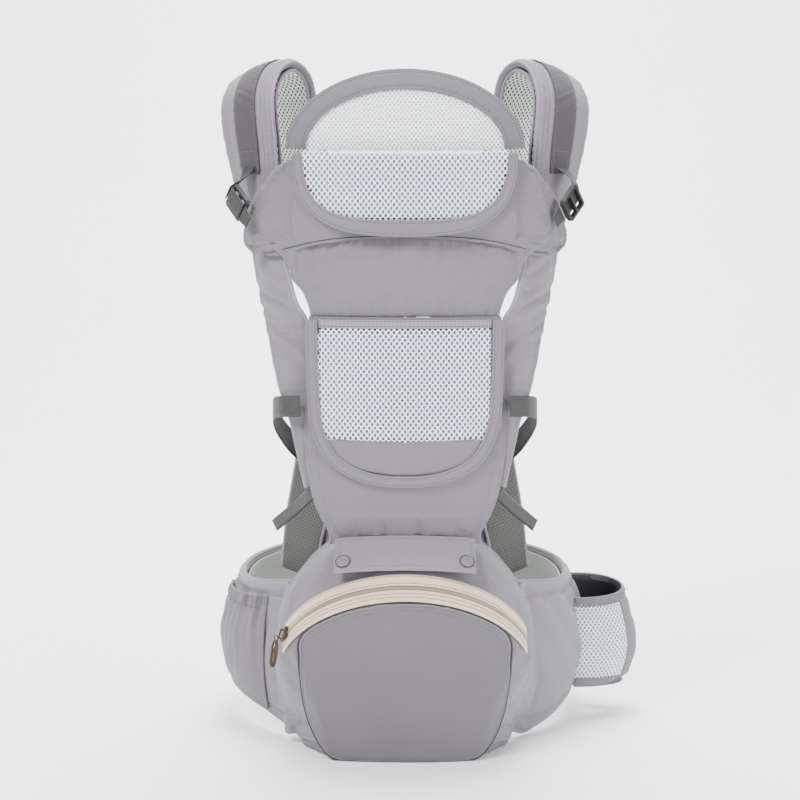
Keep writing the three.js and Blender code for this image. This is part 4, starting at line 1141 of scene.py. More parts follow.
def build_pull():
    """The slider's pull: a long flat ring of cast metal with a bar across it, hung by a small loop."""
    low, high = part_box("zip_pull")
    hang = np.array([(low.x + high.x) / 2, low.y - 1.9 * MM, high.z])
    down = unit(np.array([low.x - high.x, 0, 2.6 * (low.z - high.z)]))
    aside = np.cross(down, FRONT)
    turn = np.linspace(0, math.tau, 49)
    for name, centre, wide, tall, radius in (("loop", 3.6, 1.6, 2.7, 0.55), ("frame", 19.0, 2.7, 13.0, 1.0)):
        round_end = np.sign(np.cos(turn)) * np.abs(np.cos(turn)) ** 0.6
        points = [hang + (down * (centre + tall * up) + aside * wide * out) * MM for up, out in zip(round_end, np.sin(turn))]
        ring = settle(tube(f"zip_pull_{name}", points, radius, "brass"), "zip_pull", "brass")
    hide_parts("zip_pull")
    bar = [hang + (down * (19 + along) + aside * 0.0) * MM for along in (-12.5, 0, 12.5)]
    settle(tube("zip_pull_bar", bar, 1.9, "brass", flat=0.35, normals=[FRONT] * 3), "zip_pull", "brass")


def build_flap():
    outer, inner = cad_grid("snap_flap", 3, ZIP_UP, -ZIP_ALONG)

    def relief(u, v):
        return 0.3 * ripple(u * 5, 8) * v + 0.5 * groove(v, 0.0, 0.08, 1.0)

    flap = sheet("snap_flap_cloth", outer, inner, "flap_fabric", 81, 25, edge=0.75, relief=relief)
    settle(flap, "snap_flap", "fabric", "snap_flap")
    stitched("snap_flap_stitches", flap, inset_loop(0.03, 0.97, 0.08, 0.90), "snap_flap")
    piping("snap_flap_edge", around(flap), 1.1, "snap_flap", "flap_fabric")
    for side in SIDES:
        low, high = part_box(f"snap_cap_{side}")
        stud_low, stud_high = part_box(f"snap_stud_{side}")
        cap, stud = np.array((low + high) / 2), np.array((stud_low + stud_high) / 2)
        axis = unit(cap - stud)
        profile = [(5.6, -0.9), (6.3, -0.7), (6.5, -0.1), (6.3, 0.5), (5.7, 0.9), (5.0, 0.95), (4.6, 0.6), (4.2, 0.45),
                   (3.6, 0.55), (2.0, 0.75), (0.3, 0.8)]
        dome = lathe(f"snap_cap_{side}_dome", profile, cap, axis, "snap")
        settle(dome, "snap_flap", "snap", f"snap_cap_{side}")
        # A dark ring round the cap's foot: painted shadow where the cap meets the flap.
        ring = [(6.9, -0.2), (7.3, 0.1), (6.9, 0.4), (6.5, 0.1)]
        settle(lathe(f"snap_shadow_ring_{side}", ring, cap, axis, "crease"), "snap_flap", "snap")
        keep_cad(f"snap_stud_{side}", "snap", 0.4)
    outer, inner = cad_grid("panel_seat_zip", 1, ZIP_UP, ZIP_ALONG)
    tape = sheet("panel_seat_zip_tape", outer, inner, "zip_tape", 61, 9, edge=0.8)
    settle(tape, "carrier", "zip_coil", "panel_seat_zip")
    line, normals = on_face(tape, ALONG, 0.5, 0.2)
    across = np.repeat(ZIP_ALONG[None], len(line), 0)
    settle(teeth("panel_seat_zip_turns", line, across, normals, 3.6, 1.5, 0.5), "carrier", "zip_coil")


# ---------------------------------------------------------------- body panel and pocket

def lower(grid):
    """A grid whose first column is carried on down and back, to be sewn in under the flap."""
    return np.concatenate([grid[:, :1] - (FRONT * 5 + UP * 12) * MM, grid], axis=1)


def build_lower_panel():
    outer, inner = (lower(grid) for grid in cad_grid("lower_panel", 10, FRONT, UP))

    def relief(u, v):
        low_folds = 0.9 * ripple(u * 9, 21) * np.exp(-v / 0.12)
        side_folds = 0.5 * ripple(v * 12, 22) * np.exp(-np.minimum(u, 1 - u) / 0.10)
        return low_folds + side_folds + groove(v, 0.045, 0.012, 0.7)

    panel = sheet("body_panel_cloth", outer, inner, "fabric", 81, 91, edge=0.3, relief=relief)
    cap = limits(panel, 3.0, [(0, 0, 1, 0.2, 1, 0.3)])
    puff(panel, pins(panel, 2, rows_at=(0.055, 0.945)), cap=cap, stretch=0.02)
    settle(panel, "carrier", "fabric", "lower_panel")
    lines = [(0.055, ALONG * 0.96 + 0.02), (0.945, ALONG * 0.96 + 0.02), (ALONG * 0.9 + 0.05, 0.035)]
    stitched("body_panel_stitches", panel, lines, "carrier")
    for side, name in (("start", "left"), ("end", "right")):
        piping(f"body_panel_piping_{name}", rim(panel, side), 2.0, "carrier", "fabric")


def flared(grid):
    """The chest panel's grid, its top corners drawn out towards the straps."""
    u = np.linspace(-1, 1, grid.shape[0])[:, None]
    v = np.linspace(0, 1, grid.shape[1])[None, :]
    much = 20 * np.clip((v - 0.55) / 0.45, 0, 1) ** 2 * np.clip((np.abs(u) - 0.5) / 0.5, 0, 1) ** 1.5
    return grid + RIGHT * (np.sign(u) * much * MM)[..., None]


def build_chest_panel():
    outer, inner = (flared(longer(grid, 9)) for grid in cad_grid("chest_panel", 5, FRONT, UP))

    def relief(u, v):
        high_folds = 1.1 * ripple(u * 16, 31) * np.exp(-(1 - v) / 0.16)
        low_folds = 0.4 * ripple(u * 10, 32) * np.exp(-v / 0.15)
        return high_folds + low_folds

    chest = sheet("chest_panel_cloth", outer, inner, "fabric", 111, 45, edge=0.3, relief=relief)
    puff(chest, pins(chest, 2), cap=4.0, stretch=0.03)
    settle(chest, "carrier", "fabric", "chest_panel")
    for side, name in (("start", "left"), ("end", "right")):
        piping(f"chest_piping_{name}", rim(chest, side), 1.8, "carrier", "fabric")


def banded(name, node, across_count, across, material, rows, body, columns=15, seams=(0.14, 0.86), slot="fabric"):
    """A flat band of doubled cloth with a sewn furrow and stitches near each border."""
    outer, inner = cad_grid(node, across_count, FRONT, across)

    def relief(u, v):
        return sum(groove(v, at, 0.05, 0.6) for at in seams) + 0.12 * ripple(u * rows / 9, 41)

    band = sheet(name, outer, inner, material, rows, columns, edge=0.55, relief=relief)
    settle(band, body, slot, node)
    lines = [(ALONG * 0.99 + 0.005, at) for at in seams]
    # The stitches take the seam-shadow colour: painted shade along the sewn furrows.
    stitched(f"{name}_stitches", band, lines, body, length=2.6, gap=1.2, material="seam")
    return band


def build_pocket():
    window("pocket_net", "window_mesh", "carrier", (5.1, 3.3), (2.9, 3.7), reach=1)
    outer, inner = cad_grid("window_mesh", 5, FRONT, UP)
    centre = outer.mean((0, 1))
    grown = [(grid - centre) * np.array([1.02, 1, 0.97]) + centre - FRONT * 1.9 * MM for grid in (outer, inner)]
    settle(sheet("pocket_backing", *grown, "mesh_back", 41, 21, edge=0.8), "carrier", "mesh_white")
    outer, inner = (longer(grid, 4) for grid in cad_grid("pocket_lower", 3, FRONT, UP))
    below = sheet("pocket_lower_cloth", outer, inner, "fabric", 61, 15, edge=0.6,
                  relief=lambda u, v: groove(v, 0.93, 0.05, 0.5) + 0.2 * ripple(u * 6, 43), lift=0.9)
    settle(below, "carrier", "fabric", "pocket_lower")
    stitched("pocket_lower_stitches", below, [(ALONG * 0.96 + 0.02, 0.93)], "carrier")
    banded("pocket_hem_cloth", "pocket_hem", 1, UP, "binding", 81, "carrier", seams=(0.25, 0.85))
    banded("pocket_binding_cloth", "pocket_binding", 1, UP, "fabric", 221, "carrier")
    for at, name in ((0.0, "outer"), (1.0, "inner")):
        band = bpy.data.objects["pocket_binding_cloth"]
        piping(f"pocket_binding_{name}_cord", rim(band, "low" if at == 0 else "high"), 0.9, "carrier", "fabric")


# ---------------------------------------------------------------- head support and hood

HEAD_BEND = ("carrier", "headrest", (0, -0.08, 0.486), (0, -0.08, 0.530))
HOOD_BEND = ("headrest", "hood", (0, -0.08, 0.590), (0, -0.08, 0.602))


def tucked(grid):
    """The head support's grid with its lower border drawn back onto the chest panel and its low corners rounded."""
    rows, columns = grid.shape[:2]
    u, v = np.meshgrid(np.linspace(-1, 1, rows), np.linspace(0, 1, columns), indexing="ij")
    low = np.clip(1 - v / 0.22, 0, 1) ** 1.5
    corner = np.clip((np.abs(u) - 0.86) / 0.14, 0, 1) ** 1.5
    outside = np.clip((np.abs(u) - 0.55) / 0.45, 0, 1)
    moved = grid - FRONT * ((6.5 + 9 * outside) * low * MM)[..., None]
    moved += UP * (8 * corner * low * MM)[..., None]
    return moved - RIGHT * (6 * np.sign(u) * corner * low * MM)[..., None]


def build_head_support():
    outer, inner = (tucked(grid) for grid in cad_grid("head_support", 8, FRONT, UP))

    def relief(u, v):
        low_folds = 1.2 * ripple(u * 22, 51) * np.exp(-v / 0.16) * (1 - np.exp(-v / 0.03))
        side_folds = 0.8 * ripple(v * 9, 52) * np.exp(-np.minimum(u, 1 - u) / 0.05)
        seam = groove(np.minimum(u, 1 - u), 0.045, 0.008, 1.2)
        return low_folds + side_folds + seam

    head = sheet("head_support_cloth", outer, inner, "fabric", 161, 71, edge=0.3, relief=relief)
    cap = limits(head, 4.0, [(0, 0.16, 0.84, 0, 1, 0.2)])
    puff(head, pins(head, 2, rows_at=(0.045, 0.955)), cap=cap, stretch=0.03)
    settle(head, HEAD_BEND, "fabric", "head_support")
    stitched("head_support_stitches", head, [(0.038, ALONG), (0.962, ALONG)], HEAD_BEND)
    for side in ("start", "end", "high"):
        piping(f"head_support_piping_{side}", rim(head, side), 1.6, HEAD_BEND, "fabric")
    # A thin tube in the seam-shadow colour along the low border: a painted shade line in the seam.
    piping("head_support_seam", rim(head, "low"), 0.6, HEAD_BEND, "seam")
    window("head_window_net", "head_window_mesh", HEAD_BEND, (5.1, 3.3), (2.9, 3.7), reach=3)
    outer, inner = cad_grid("head_window_mesh", 6, FRONT, UP)
    behind = [grid - FRONT * 1.4 * MM for grid in (outer, inner)]
    settle(sheet("head_window_backing", *behind, "mesh_back", 41, 21, edge=0.8), HEAD_BEND, "mesh_white")
    banded("head_window_binding_cloth", "head_window_binding", 1, UP, "fabric", 181, HEAD_BEND)
    band = bpy.data.objects["head_window_binding_cloth"]
    for side in ("low", "high"):
        piping(f"head_window_cord_{side}", rim(band, side), 0.9, HEAD_BEND, "fabric")


def build_hood():
    window("hood_net", "hood_mesh", HOOD_BEND, (4.0, 2.6), (1.9, 2.5), reach=3)
    outer, inner = cad_grid("hood_mesh", 4, FRONT, UP)
    behind = [grid - FRONT * 1.1 * MM for grid in (outer, inner)]
    settle(sheet("hood_backing", *behind, "hood_back", 61, 21, edge=0.8), HOOD_BEND, "mesh_white")
    band = banded("hood_band_cloth", "hood_band", 1, -UP, "hood_fabric", 161, HOOD_BEND, slot="fabric_dark")
    for side in ("low", "high"):
        piping(f"hood_band_cord_{side}", rim(band, side), 1.2, HOOD_BEND, "hood_fabric", "fabric_dark")


# ---------------------------------------------------------------- shoulder straps

STATIONS = 19.0


def behind_panel(grid, s):
    """Widens the low part of a strap's grid inwards, where it is sewn behind the body panel's border."""
    station = np.linspace(0, STATIONS, len(grid))[:, None]
    share = np.linspace(0, 1, grid.shape[1])[None, :]
    much = np.interp(station, [0, 2.0, 2.8], [17, 17, 0]) * share**1.5
    grid = grid + np.array([-0.92 * s, 0.39, 0]) * much[..., None] * MM
    foot = []
    for fall in (66, 33):
        inwards = -0.21 * fall * s * (1 - share.T)
        foot.append(grid[0] + np.concatenate([inwards, 0.05 * fall + 0 * inwards, -fall + 0 * inwards], axis=1) * MM)
    return np.concatenate([np.array(foot), grid])


def build_strap(side):
    s = SIDES[side]
    outward, inward = np.array([-0.77 * s, 0.62, -0.13]), np.array([-0.61 * s, -0.78, -0.08])
    outer, inner = cad_grid(f"shoulder_strap_{side}", 3, outward, inward, start=lambda p: p[2])
    outer, inner = (behind_panel(grid[::-1], s) for grid in (outer, inner))

    def relief(u, v):
        upper = 1 / (1 + np.exp(-(u - 5.2 / STATIONS) * 60))
        seams = sum(groove(v, at, 0.018, 0.9) for at in (0.09, 0.17, 0.83, 0.91)) * upper
        wing = (1 - upper) * (0.9 * ripple(u * 22 + v * 1.5, 61) + groove(v, 0.1, 0.03, 0.8))
        bend = 0.45 * ripple(u * 46, 62) * np.exp(-np.minimum(v, 1 - v) / 0.12)
        return seams + wing + bend

    strap = sheet(f"shoulder_strap_{side}_cloth", outer, inner, "fabric_strap", 281, 37, edge=0.35, relief=relief,
                  roundness=5)
    cap = limits(strap, 2.5, [(0, 0.3, 0.74, 0.2, 0.8, 0.1), (1, 0.18, 1, 0, 1, 0.1)])
    puff(strap, pins(strap, 2, columns_at=(0.09, 0.17, 0.83, 0.91)), cap=cap, stretch=0.02)
    settle(strap, "carrier", "fabric_strap", f"shoulder_strap_{side}")
    u = 0.28 + 0.71 * np.linspace(0, 1, 400)
    stitched(f"shoulder_strap_{side}_stitches", strap, [(u, 0.09), (u, 0.17), (u, 0.83), (u, 0.91)], "carrier",
             "fabric_strap")
    for edge in ("low", "high"):
        piping(f"shoulder_strap_{side}_{edge}_piping", rim(strap, edge), 1.9, "carrier", "binding", "fabric_strap")
    build_strap_lining(side, outward, inward)
    build_strap_band(side)


def build_strap_lining(side, outward, inward):
    outer, inner = cad_grid(f"strap_lining_{side}", 3, outward, inward, start=lambda p: p[2])
    lining = sheet(f"strap_lining_{side}_mesh", inner[::-1], outer[::-1], "strap_mesh", 201, 21, edge=0.5)
    settle(lining, "carrier", "mesh_lining", f"strap_lining_{side}")
    for edge in ("low", "high"):
        piping(f"strap_lining_{side}_{edge}_binding", rim(lining, edge), 1.6, "carrier", "binding", "fabric_strap")


def build_strap_band(side):
    s = SIDES[side]
    outward, inward = np.array([-0.55 * s, 0.74, 0.37]), np.array([-0.78 * s, -0.62, 0.08])
    outer, inner = cad_grid(f"strap_webbing_{side}", 3, outward, inward,
                            start=lambda p: p[2] if p[1] > 0.04 else 9.0)
    inwards = unit(outer[:, -1:] - outer[:, :1]) * 2.5 * MM
    outer, inner = outer + inwards, inner + inwards
    band = sheet(f"strap_band_{side}", outer[::-1], inner[::-1], "band_fabric", 141, 15, edge=0.6,
                 relief=lambda u, v: groove(v, 0.1, 0.04, 0.5) + groove(v, 0.9, 0.04, 0.5) + 0.3 * ripple(u * 30 + v * 2, 63))
    settle(band, "carrier", "webbing", f"strap_webbing_{side}")
    lines = [(ALONG, 0.1), (ALONG, 0.9)]
    for low in (0.015, 0.40, 0.93):
        lines += inset_loop(low, low + 0.055, 0.14, 0.86)
    stitched(f"strap_band_{side}_stitches", band, lines, "carrier", "webbing", length=2.6, gap=1.2)


# ---------------------------------------------------------------- webbing and buckles

def webbing(node, outer_way, across, start, body, material="webbing", ends=("start", "end"), reach=0):
    """A run of ribbed webbing with box stitches at its sewn ends, carried on by reach mm."""
    outer, inner = cad_grid(node, 1, np.asarray(outer_way, float), np.asarray(across, float), start=start)
    if reach:
        step = unit(outer[-1:] - outer[-2:-1]) * reach * MM
        outer, inner = np.concatenate([outer, outer[-1:] + step]), np.concatenate([inner, inner[-1:] + step])
    length = lengths(outer.mean(1))[-1]
    width = np.linalg.norm(outer[0, 1] - outer[0, 0]) / MM
    rows = max(int(length / 1.6), 8)
    ribbon = sheet(f"{node}_ribbed", outer, inner, material, rows, 9, edge=0.75)
    settle(ribbon, body, "webbing", node)
    box = min(width * 0.8 / length, 0.4)
    lines = []
    if "start" in ends:
        lines += inset_loop(0.02, 0.02 + box, 0.14, 0.86)
    if "end" in ends:
        lines += inset_loop(0.98 - box, 0.98, 0.14, 0.86)
    if lines:
        stitched(f"{node}_stitches", ribbon, lines, body, "webbing", length=2.0, gap=0.9, radius=0.32,
                 material="webbing_dark")
    return ribbon


def lock_axis(side):
    """The direction of a headrest lock's bars, which it tilts about."""
    joint = next(j for j in frame["record"]["behaviour"]["joints"] if j["name"] == f"headrest_lock_{side}_tilt")
    return -np.array(joint["axis"], float)


def two_sided(name, material):
    """Gives a sheet's inner face another material."""
    piece = bpy.data.objects[name]
    rows, columns = GRIDS[name]
    piece.data.materials.append(MATERIALS[material])
    for polygon in piece.data.polygons:
        if min(polygon.vertices) >= rows * columns:
            polygon.material_index = 1


def build_adjusters(side):
    s = SIDES[side]
    keep_cad(f"headrest_lock_{side}", "buckle", 0.8)
    low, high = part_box(f"headrest_webbing_{side}")
    head = ("carrier", "headrest", (0, high.y, high.z), (0, low.y, low.z))
    low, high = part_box(f"headrest_lock_{side}")
    centre = np.array((low + high) / 2)
    bars = lock_axis(side)
    face = unit(np.cross(bars, UP)) * s
    rise = np.cross(face, bars) * s
    band = bpy.data.objects[f"strap_band_{side}"]
    ends = [(rim(band, end), faces_of(band)[0][row]) for end, row in (("start", 3), ("end", -4))]
    _, sewn = min(ends, key=lambda pair: pair[0][:, 1].mean())
    sewn_across = unit(sewn[-1] - sewn[0])
    if sewn_across @ bars < 0:
        sewn_across = -sewn_across
    t = np.linspace(0, 1, 16)[:, None]
    behind = centre - face * 2.9 * MM
    upper = (behind + rise * 15 * MM) * t + sewn.mean(0) * (1 - t) + face * 5 * MM * np.sin(math.pi * t)
    turn = unit(bars * t + sewn_across * (1 - t))
    straight = bars + 0 * turn
    for name, spine, across, wide, body in (
            ("upper", upper, turn, 8.5 + 0 * t, head),
            ("middle", behind + rise * (12 - 24 * t) * MM, straight, 8.5 + 0 * t, f"headrest_lock_{side}"),
            ("lower", behind - rise * (15 + 13 * t) * MM, straight, 8.5 - 2.5 * t, "headrest")):
        outer = np.stack([spine - across * wide * MM, spine + across * wide * MM], axis=1)
        strip = sheet(f"headrest_webbing_{side}_{name}", outer, outer - face * 1.4 * MM, "webbing_dark", 32, 9, edge=0.75)
        settle(strip, body, "webbing", *([f"headrest_webbing_{side}"] if name == "upper" else []))
    keep_cad(f"side_lock_{side}", "buckle", 0.8)
    webbing(f"side_webbing_{side}", (0.28 * s, -0.95, 0), (0, 0.12, 1), lambda p: 0.96 * s * p[0] + 0.28 * p[1],
            "carrier", ends=("start",), reach=9)
    # Painted shade: the webbing's inner face, the underside of its return run, takes the darker webbing colour.
    two_sided(f"side_webbing_{side}_ribbed", "webbing_dark")
    tail = webbing(f"side_tail_{side}", (0.95 * s, -0.3, 0), (0.25 * s, 0.85, 0.35),
                   lambda p: -s * p[0], "carrier", ends=("start",))
    keeper(f"side_tail_keeper_{side}", tail, 0.48, "carrier")


def keeper(name, ribbon, at, body):
    """An elastic loop round a webbing."""
    top, bottom = faces_of(ribbon)
    row = round(at * (len(top) - 1))
    loop = np.concatenate([top[row], bottom[row][::-1], top[row][:2]])
    centre = loop.mean(0)
    grown = centre + (loop - centre) * 1.08 + unit(loop - centre) * 0.5 * MM
    along = unit(top[row + 1].mean(0) - top[row - 1].mean(0))
    for k, shift in enumerate((-1.5, 0.0, 1.5)):
        settle(tube(f"{name}_{k}", grown + along * shift * MM, 0.9, "webbing_dark"), body, "webbing")


def build_buckles():
    for node in ("waist_buckle_female", "waist_buckle_male", "waist_tri_glide"):
        keep_cad(node, "buckle", 1.0)
    for node in ("back_clip_female", "back_clip_male"):
        keep_cad(node, "buckle", 0.8)
    behind = (0, 1, 0)
    webbing("waist_webbing_left", behind, UP, lambda p: p[0], "belt_left_wing", ends=("start",))
    webbing("waist_webbing_right", behind, UP, lambda p: p[0], "waist_buckle", ends=("end",))
    webbing("back_clip_webbing_left", behind, UP, lambda p: p[0], "carrier", ends=("start",))
    webbing("back_clip_webbing_right", behind, UP, lambda p: p[0], "back_clip", ends=("end",))


# ---------------------------------------------------------------- waist belt

def belt_bend(side):
    s = SIDES[side]
    return ("carrier", f"belt_{side}_wing", (0.119 * s, 0.046, 0.09), (0.145 * s, 0.072, 0.09))


def onto_seat(tree, outer, inner):
    """Carries a wing forward over the seat's side, further low down, until its edge sinks into the cover."""
    start = outer[0]
    ahead = np.interp(start[:, 2], np.array([40, 85, 112]) * MM, [98, 66, 30])
    goal = start + FRONT * (ahead * MM)[:, None]
    goal[:, 2] -= (start[0, 2] - 1 * MM) * np.linspace(1, 0, len(start)) ** 3
    target, normals = drop_on(tree, goal, -1.2)
    faces = [target[None]], [(target - normals * 3 * MM)[None]]
    for share in np.linspace(0, 1, 7)[1:-1]:
        row = target + (start - target) * share
        nearest, normals = drop_on(tree, row)
        height = np.maximum(((row - nearest) * normals).sum(1, keepdims=True), 1.0 * MM)
        row = nearest + normals * height
        faces[0].append(row[None])
        faces[1].append((row - normals * 3 * MM)[None])
    grids = [np.concatenate(rows + [face]) for rows, face in zip(faces, (outer, inner))]
    for grid in grids:
        grid[:, :, 2] = np.maximum(grid[:, :, 2], 3.2 * MM)
    return grids


def build_belt(side, tree):
    s = SIDES[side]
    outward = np.array([0.22 * s, 0.976, 0])
    outer, inner = cad_grid(f"belt_{side}", 5, outward, UP, start=lambda p: abs(p[0]))
    outer, inner = onto_seat(tree, outer[::-1], inner[::-1])

    def relief(u, v):
        rim_seam = groove(v, 0.91, 0.014, 1.6) + groove(v, 0.09, 0.014, 1.4)
        rumple = 1.0 * ripple(u * 7 + v * 1.4, 71) * np.sin(math.pi * v)
        return rim_seam + rumple

    # Painted light: the belt wings and their piping take the lightened copy of the carrier fabric.
    belt = sheet(f"belt_{side}_cloth", outer, inner, "belt_fabric_painted_light", 181, 61, edge=0.4, relief=relief, roundness=6)
    covered = [(1, 0, 1, 0, 1, 0.1)]
    if side == "left":
        covered.append((0, 0.28, 0.62, 0, 0.93, 0.5))
    puff(belt, pins(belt, 2, columns_at=(0.09, 0.91)), cap=limits(belt, 3.5, covered), stretch=0.02)
    bend = belt_bend(side)
    settle(belt, bend, "fabric", f"belt_{side}")
    stitched(f"belt_{side}_stitches", belt, [(ALONG, 0.895), (ALONG, 0.105)], bend)
    for edge in ("low", "high"):
        piping(f"belt_{side}_{edge}_piping", rim(belt, edge), 2.6, bend, "belt_fabric_painted_light")
    piping(f"belt_{side}_end_piping", rim(belt, "end"), 2.2, bend, "fabric")
    outer, inner = cad_grid(f"belt_lining_{side}", 5, outward, UP, start=lambda p: abs(p[0]))

    def quilt(u, v):
        return -0.9 * np.exp(-(((v * 3) % 1 - 0.5) / 0.05) ** 2)

    lining = sheet(f"belt_lining_{side}_mesh", inner[::-1], outer[::-1], "belt_lining", 141, 41, edge=0.4, relief=quilt)
    settle(lining, bend, "mesh_lining", f"belt_lining_{side}")


def build_side_pocket():
    """The gathered pocket on the left wing, held in by its elastic top."""
    outer, inner = cad_grid("side_pocket", 5, -RIGHT, UP, start=lambda p: -p[1])
    outer, inner = outer[::-1], inner[::-1]

    def relief(u, v):
        gathers = 2.2 * ripple(u * 6 + 0.12 * ripple(v * 1.2, 83), 81) * np.exp(-(1 - v) / 0.32)
        slack = 1.1 * ripple(u * 2.5 + v * 1.6, 84) * np.sin(math.pi * v) * np.sin(math.pi * u)
        elastic = np.where(v > 0.9, 0.6 * ripple(u * 24, 82), 0)
        return gathers + slack + elastic + groove(v, 0.895, 0.015, 1.6) + groove(v, 0.05, 0.02, 1.0)

    pocket = sheet("side_pocket_cloth", outer, inner, "fabric", 161, 61, edge=0.6, relief=relief)
    bend = belt_bend("left")
    settle(pocket, bend, "fabric", "side_pocket")
    stitched("side_pocket_stitches", pocket, [(ALONG, 0.895), (ALONG, 0.05)], bend)
    for side in ("start", "end", "low", "high"):
        piping(f"side_pocket_piping_{side}", rim(pocket, side), 1.5, bend, "fabric")


def bottle_section():
    """place(angle, z, out): a point and normal on the bottle pocket's wall, angle -90 to 90 degrees round its front."""
    rings = {}
    for node in ("bottle_pocket_base", "bottle_pocket_mesh", "bottle_pocket_binding"):
        for x, _, z in cad_graph(node)[0]:
            rings[round(z, 4)] = max(rings.get(round(z, 4), 0), x)
    heights = np.array(sorted(rings))
    reaches = np.array([rings[z] for z in heights])
    low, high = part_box("bottle_pocket_mesh")
    middle, half = (low.y + high.y) / 2, (high.y - low.y) / 2
    near = low.x - 10 * MM

    def wall(angle, z, out):
        far = np.interp(z, heights, reaches) + out * MM
        return np.array([near + (far - near) * max(math.cos(angle), 0) ** 0.8,
                         middle + (half + out * MM) * math.sin(angle), z])

    def place(angle, z, out=0.0):
        step = 0.02
        here = wall(angle, z, out)
        ahead = wall(min(angle + step, math.pi / 2), z, out) - wall(max(angle - step, -math.pi / 2), z, out)
        rise = wall(angle, z + MM, out) - wall(angle, z - MM, out)
        return here, unit(np.cross(ahead, rise))

    return place


def build_bottle_pocket():
    """A net front, a cloth strip down the outer side, and an elastic rim that stands higher at the back."""
    place = bottle_section()
    low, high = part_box("bottle_pocket_mesh")
    base_low, base_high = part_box("bottle_pocket_base")
    band_low, band_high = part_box("bottle_pocket_binding")
    bend = belt_bend("right")
    angles = np.linspace(-math.pi / 2, math.pi / 2, 121)
    arc = lengths(np.array([place(a, (low.z + high.z) / 2)[0] for a in angles]))
    strip_from, strip_to = math.radians(-34), math.radians(28)

    def top(angle):
        return band_high.z + (6 * math.sin(angle) - 4) * MM

    def on_wall(a, b):
        angle = float(np.interp(a, arc, angles))
        inside = -2 < a and angle < strip_from + 0.1
        if not (inside and base_low.z + 2 * MM < b * MM < top(angle) - 7 * MM):
            return None
        return place(angle, b * MM)

    spans = (0, arc[-1]), (base_low.z / MM, band_high.z / MM)
    settle(net("bottle_pocket_net", on_wall, *spans, (4.6, 3.1), (2.8, 3.4)), bend, "mesh_white", "bottle_pocket_mesh")

    def wall_sheet(name, levels, span, material, slot, out, inside, rows=91, columns=15, **options):
        shares = np.linspace(0, 1, columns)
        rounds = np.linspace(*span, 61)
        low_high = [levels(a) for a in rounds]
        outer = np.array([[place(a, z0 + (z1 - z0) * t, out)[0] for t in shares] for a, (z0, z1) in zip(rounds, low_high)])
        inner = np.array([[place(a, z0 + (z1 - z0) * t, inside)[0] for t in shares] for a, (z0, z1) in zip(rounds, low_high)])
        return settle(sheet(name, outer, inner, material, rows, columns, **options), bend, slot)

    whole = (-math.pi / 2, math.pi / 2)
    wall_sheet("bottle_pocket_backing", lambda a: (base_low.z + 4 * MM, top(a) - 2 * MM), whole, "mesh_back", "mesh_white", -1.0, -1.8,
               edge=0.9)
    # Painted shade: the backing's inner face, inside the pocket, takes the dark crease-shadow colour.
    two_sided("bottle_pocket_backing", "crease")
    rib = lambda u, v: 0.5 * np.sin(u * math.tau * 34) + groove(v, 0.2, 0.08, 0.6)
    band = wall_sheet("bottle_pocket_band", lambda a: (top(a) - 9 * MM, top(a)), whole, "fabric", "fabric", 0.9, -1.8,
                      edge=0.6, relief=rib)
    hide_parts("bottle_pocket_binding")
    hem = wall_sheet("bottle_pocket_hem", lambda a: (base_low.z, base_high.z), whole, "fabric", "fabric", 0.8, -1.8, edge=0.6)
    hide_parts("bottle_pocket_base")
    soft = lambda u, v: 0.5 * ripple(v * 4, 91)
    wall_sheet("bottle_pocket_strip", lambda a: (base_low.z + 2 * MM, top(a) - 4 * MM), (strip_from, math.pi / 2), "fabric",
               "fabric", 1.5, -1.2, edge=0.7, relief=soft)
    for height, name in ((lambda a: base_high.z, "hem"), (lambda a: top(a) - 9 * MM, "band")):
        line = np.array([place(a, height(a), 0.4)[0] for a in angles])
        piping(f"bottle_pocket_{name}_cord", line, 0.8, bend, "fabric")
    levels = np.linspace(base_low.z + 2 * MM, top(strip_from) - 8 * MM, 40)
    for angle, name in ((-math.pi / 2, "inner"), (strip_from, "outer")):
        line = np.array([place(angle, z, 0.8)[0] for z in levels])
        piping(f"bottle_pocket_{name}_seam", line, 1.2, bend, "fabric")
    floor = [place(a, base_low.z + 1.2 * MM)[0] for a in angles]
    centre = np.mean(floor, axis=0)
    grid = np.stack([centre + (np.array(floor) - centre) * share for share in (1.0, 0.7, 0.4, 0.05)])
    settle(sheet("bottle_pocket_floor", grid, grid - UP * 1.6 * MM, "fabric", 13, 91, edge=0.9), bend, "fabric")


# ---------------------------------------------------------------- studio

def area_light(name, place, aim, size, power):
    data = bpy.data.lights.new(name, "AREA")
    data.shape = "DISK"
    data.size = size
    data.energy = power
    light = bpy.data.objects.new(name, data)
    light.location = place
    light.rotation_mode = "QUATERNION"
    light.rotation_quaternion = (Vector(aim) - Vector(place)).to_track_quat("-Z", "Y")
    bpy.context.scene.collection.objects.link(light)


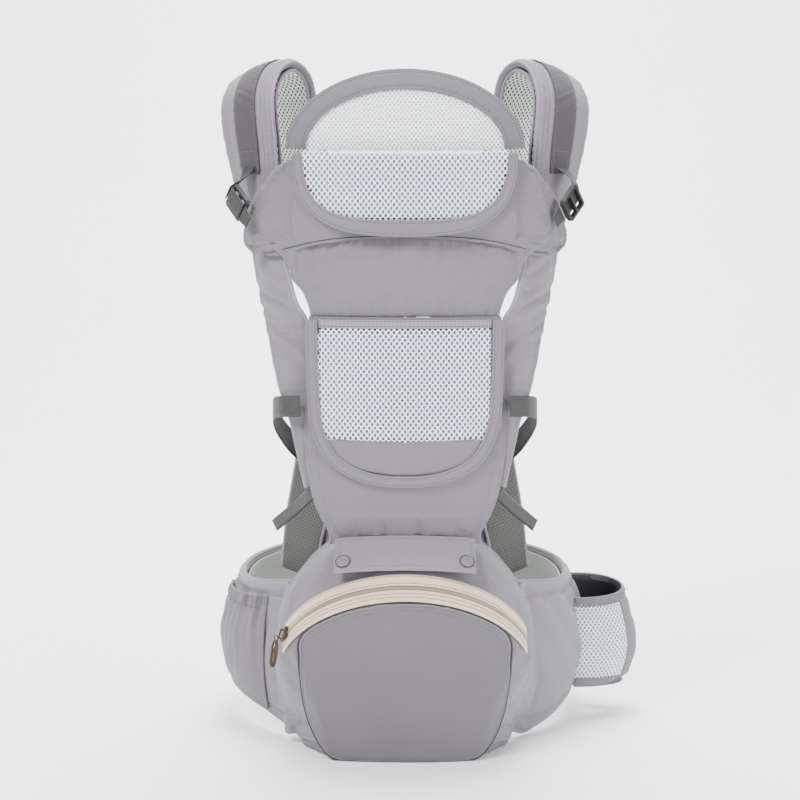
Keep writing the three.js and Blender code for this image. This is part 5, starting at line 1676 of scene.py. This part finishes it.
def build_studio():
    low, high = cad_box
    centre = (low + high) / 2
    profile = [(-2.5, 0)] + [(1.2 + 0.8 * math.sin(t), 0.8 - 0.8 * math.cos(t)) for t in np.linspace(0, math.pi / 2, 20)]
    profile.append((2.0, 5.0))
    vertices = [(x, y, z + low.z - 0.8 * MM) for y, z in profile for x in (-5, 5)]
    faces = [(2 * i, 2 * i + 1, 2 * i + 3, 2 * i + 2) for i in range(len(profile) - 1)]
    material, nodes, links, shader = nodes_of("studio_paper")
    MATERIALS["paper"] = material
    place = nodes.new("ShaderNodeTexCoord").outputs["Object"]
    grain = noise_value(nodes, links, place, 5, 2)
    links.new(mix_colors(nodes, links, grain, (0.93, 0.93, 0.93, 1), (0.96, 0.96, 0.96, 1)), shader.inputs["Base Color"])
    shader.inputs["Roughness"].default_value = 0.9
    through = nodes.new("ShaderNodeBsdfTransparent")
    sides = nodes.new("ShaderNodeMixShader")
    links.new(nodes.new("ShaderNodeNewGeometry").outputs["Backfacing"], sides.inputs[0])
    links.new(shader.outputs[0], sides.inputs[1])
    links.new(through.outputs[0], sides.inputs[2])
    output = next(node for node in nodes if node.type == "OUTPUT_MATERIAL")
    links.new(sides.outputs[0], output.inputs["Surface"])
    floor = add_mesh("studio_floor", vertices, faces, "paper")
    area_light("key", (-1.2, -1.7, 2.1), centre, 1.0, 110)
    area_light("fill", (1.9, -1.6, 0.9), centre, 1.6, 58)
    area_light("top", (0.1, 0.1, 2.5), centre, 1.2, 66)
    area_light("backdrop", (0.0, 0.9, 2.6), (0, 2.6, 0.8), 2.5, 150)
    world = bpy.data.worlds.new("studio")
    world.use_nodes = True
    world.node_tree.nodes["Background"].inputs["Color"].default_value = (1, 1, 1, 1)
    seen = world.node_tree.nodes.new("ShaderNodeLightPath").outputs["Is Camera Ray"]
    strength = math_node(world.node_tree.nodes, world.node_tree.links, "MULTIPLY_ADD", seen, 1.6)
    strength.node.inputs[2].default_value = 0.55
    world.node_tree.links.new(strength, world.node_tree.nodes["Background"].inputs["Strength"])
    bpy.context.scene.world = world
    camera = bpy.data.objects.new("camera", bpy.data.cameras.new("camera"))
    camera.data.sensor_width = 36
    camera.data.lens = 103.5
    target = Vector((-0.00475, -0.038, 0.3534))
    rise = math.radians(8)
    back = Vector((0, -math.cos(rise), math.sin(rise)))
    camera.location = target + back * 2.185
    camera.rotation_mode = "QUATERNION"
    camera.rotation_quaternion = (-back).to_track_quat("-Z", "Y")
    bpy.context.scene.collection.objects.link(camera)
    bpy.context.scene.camera = camera


seat_tree = build_seat()
build_zip()
build_flap()
build_lower_panel()
build_chest_panel()
build_pocket()
build_head_support()
build_hood()
for strap_side in SIDES:
    build_strap(strap_side)
    build_adjusters(strap_side)
    build_belt(strap_side, seat_tree)
build_side_pocket()
build_bottle_pocket()
build_buckles()
build_studio()
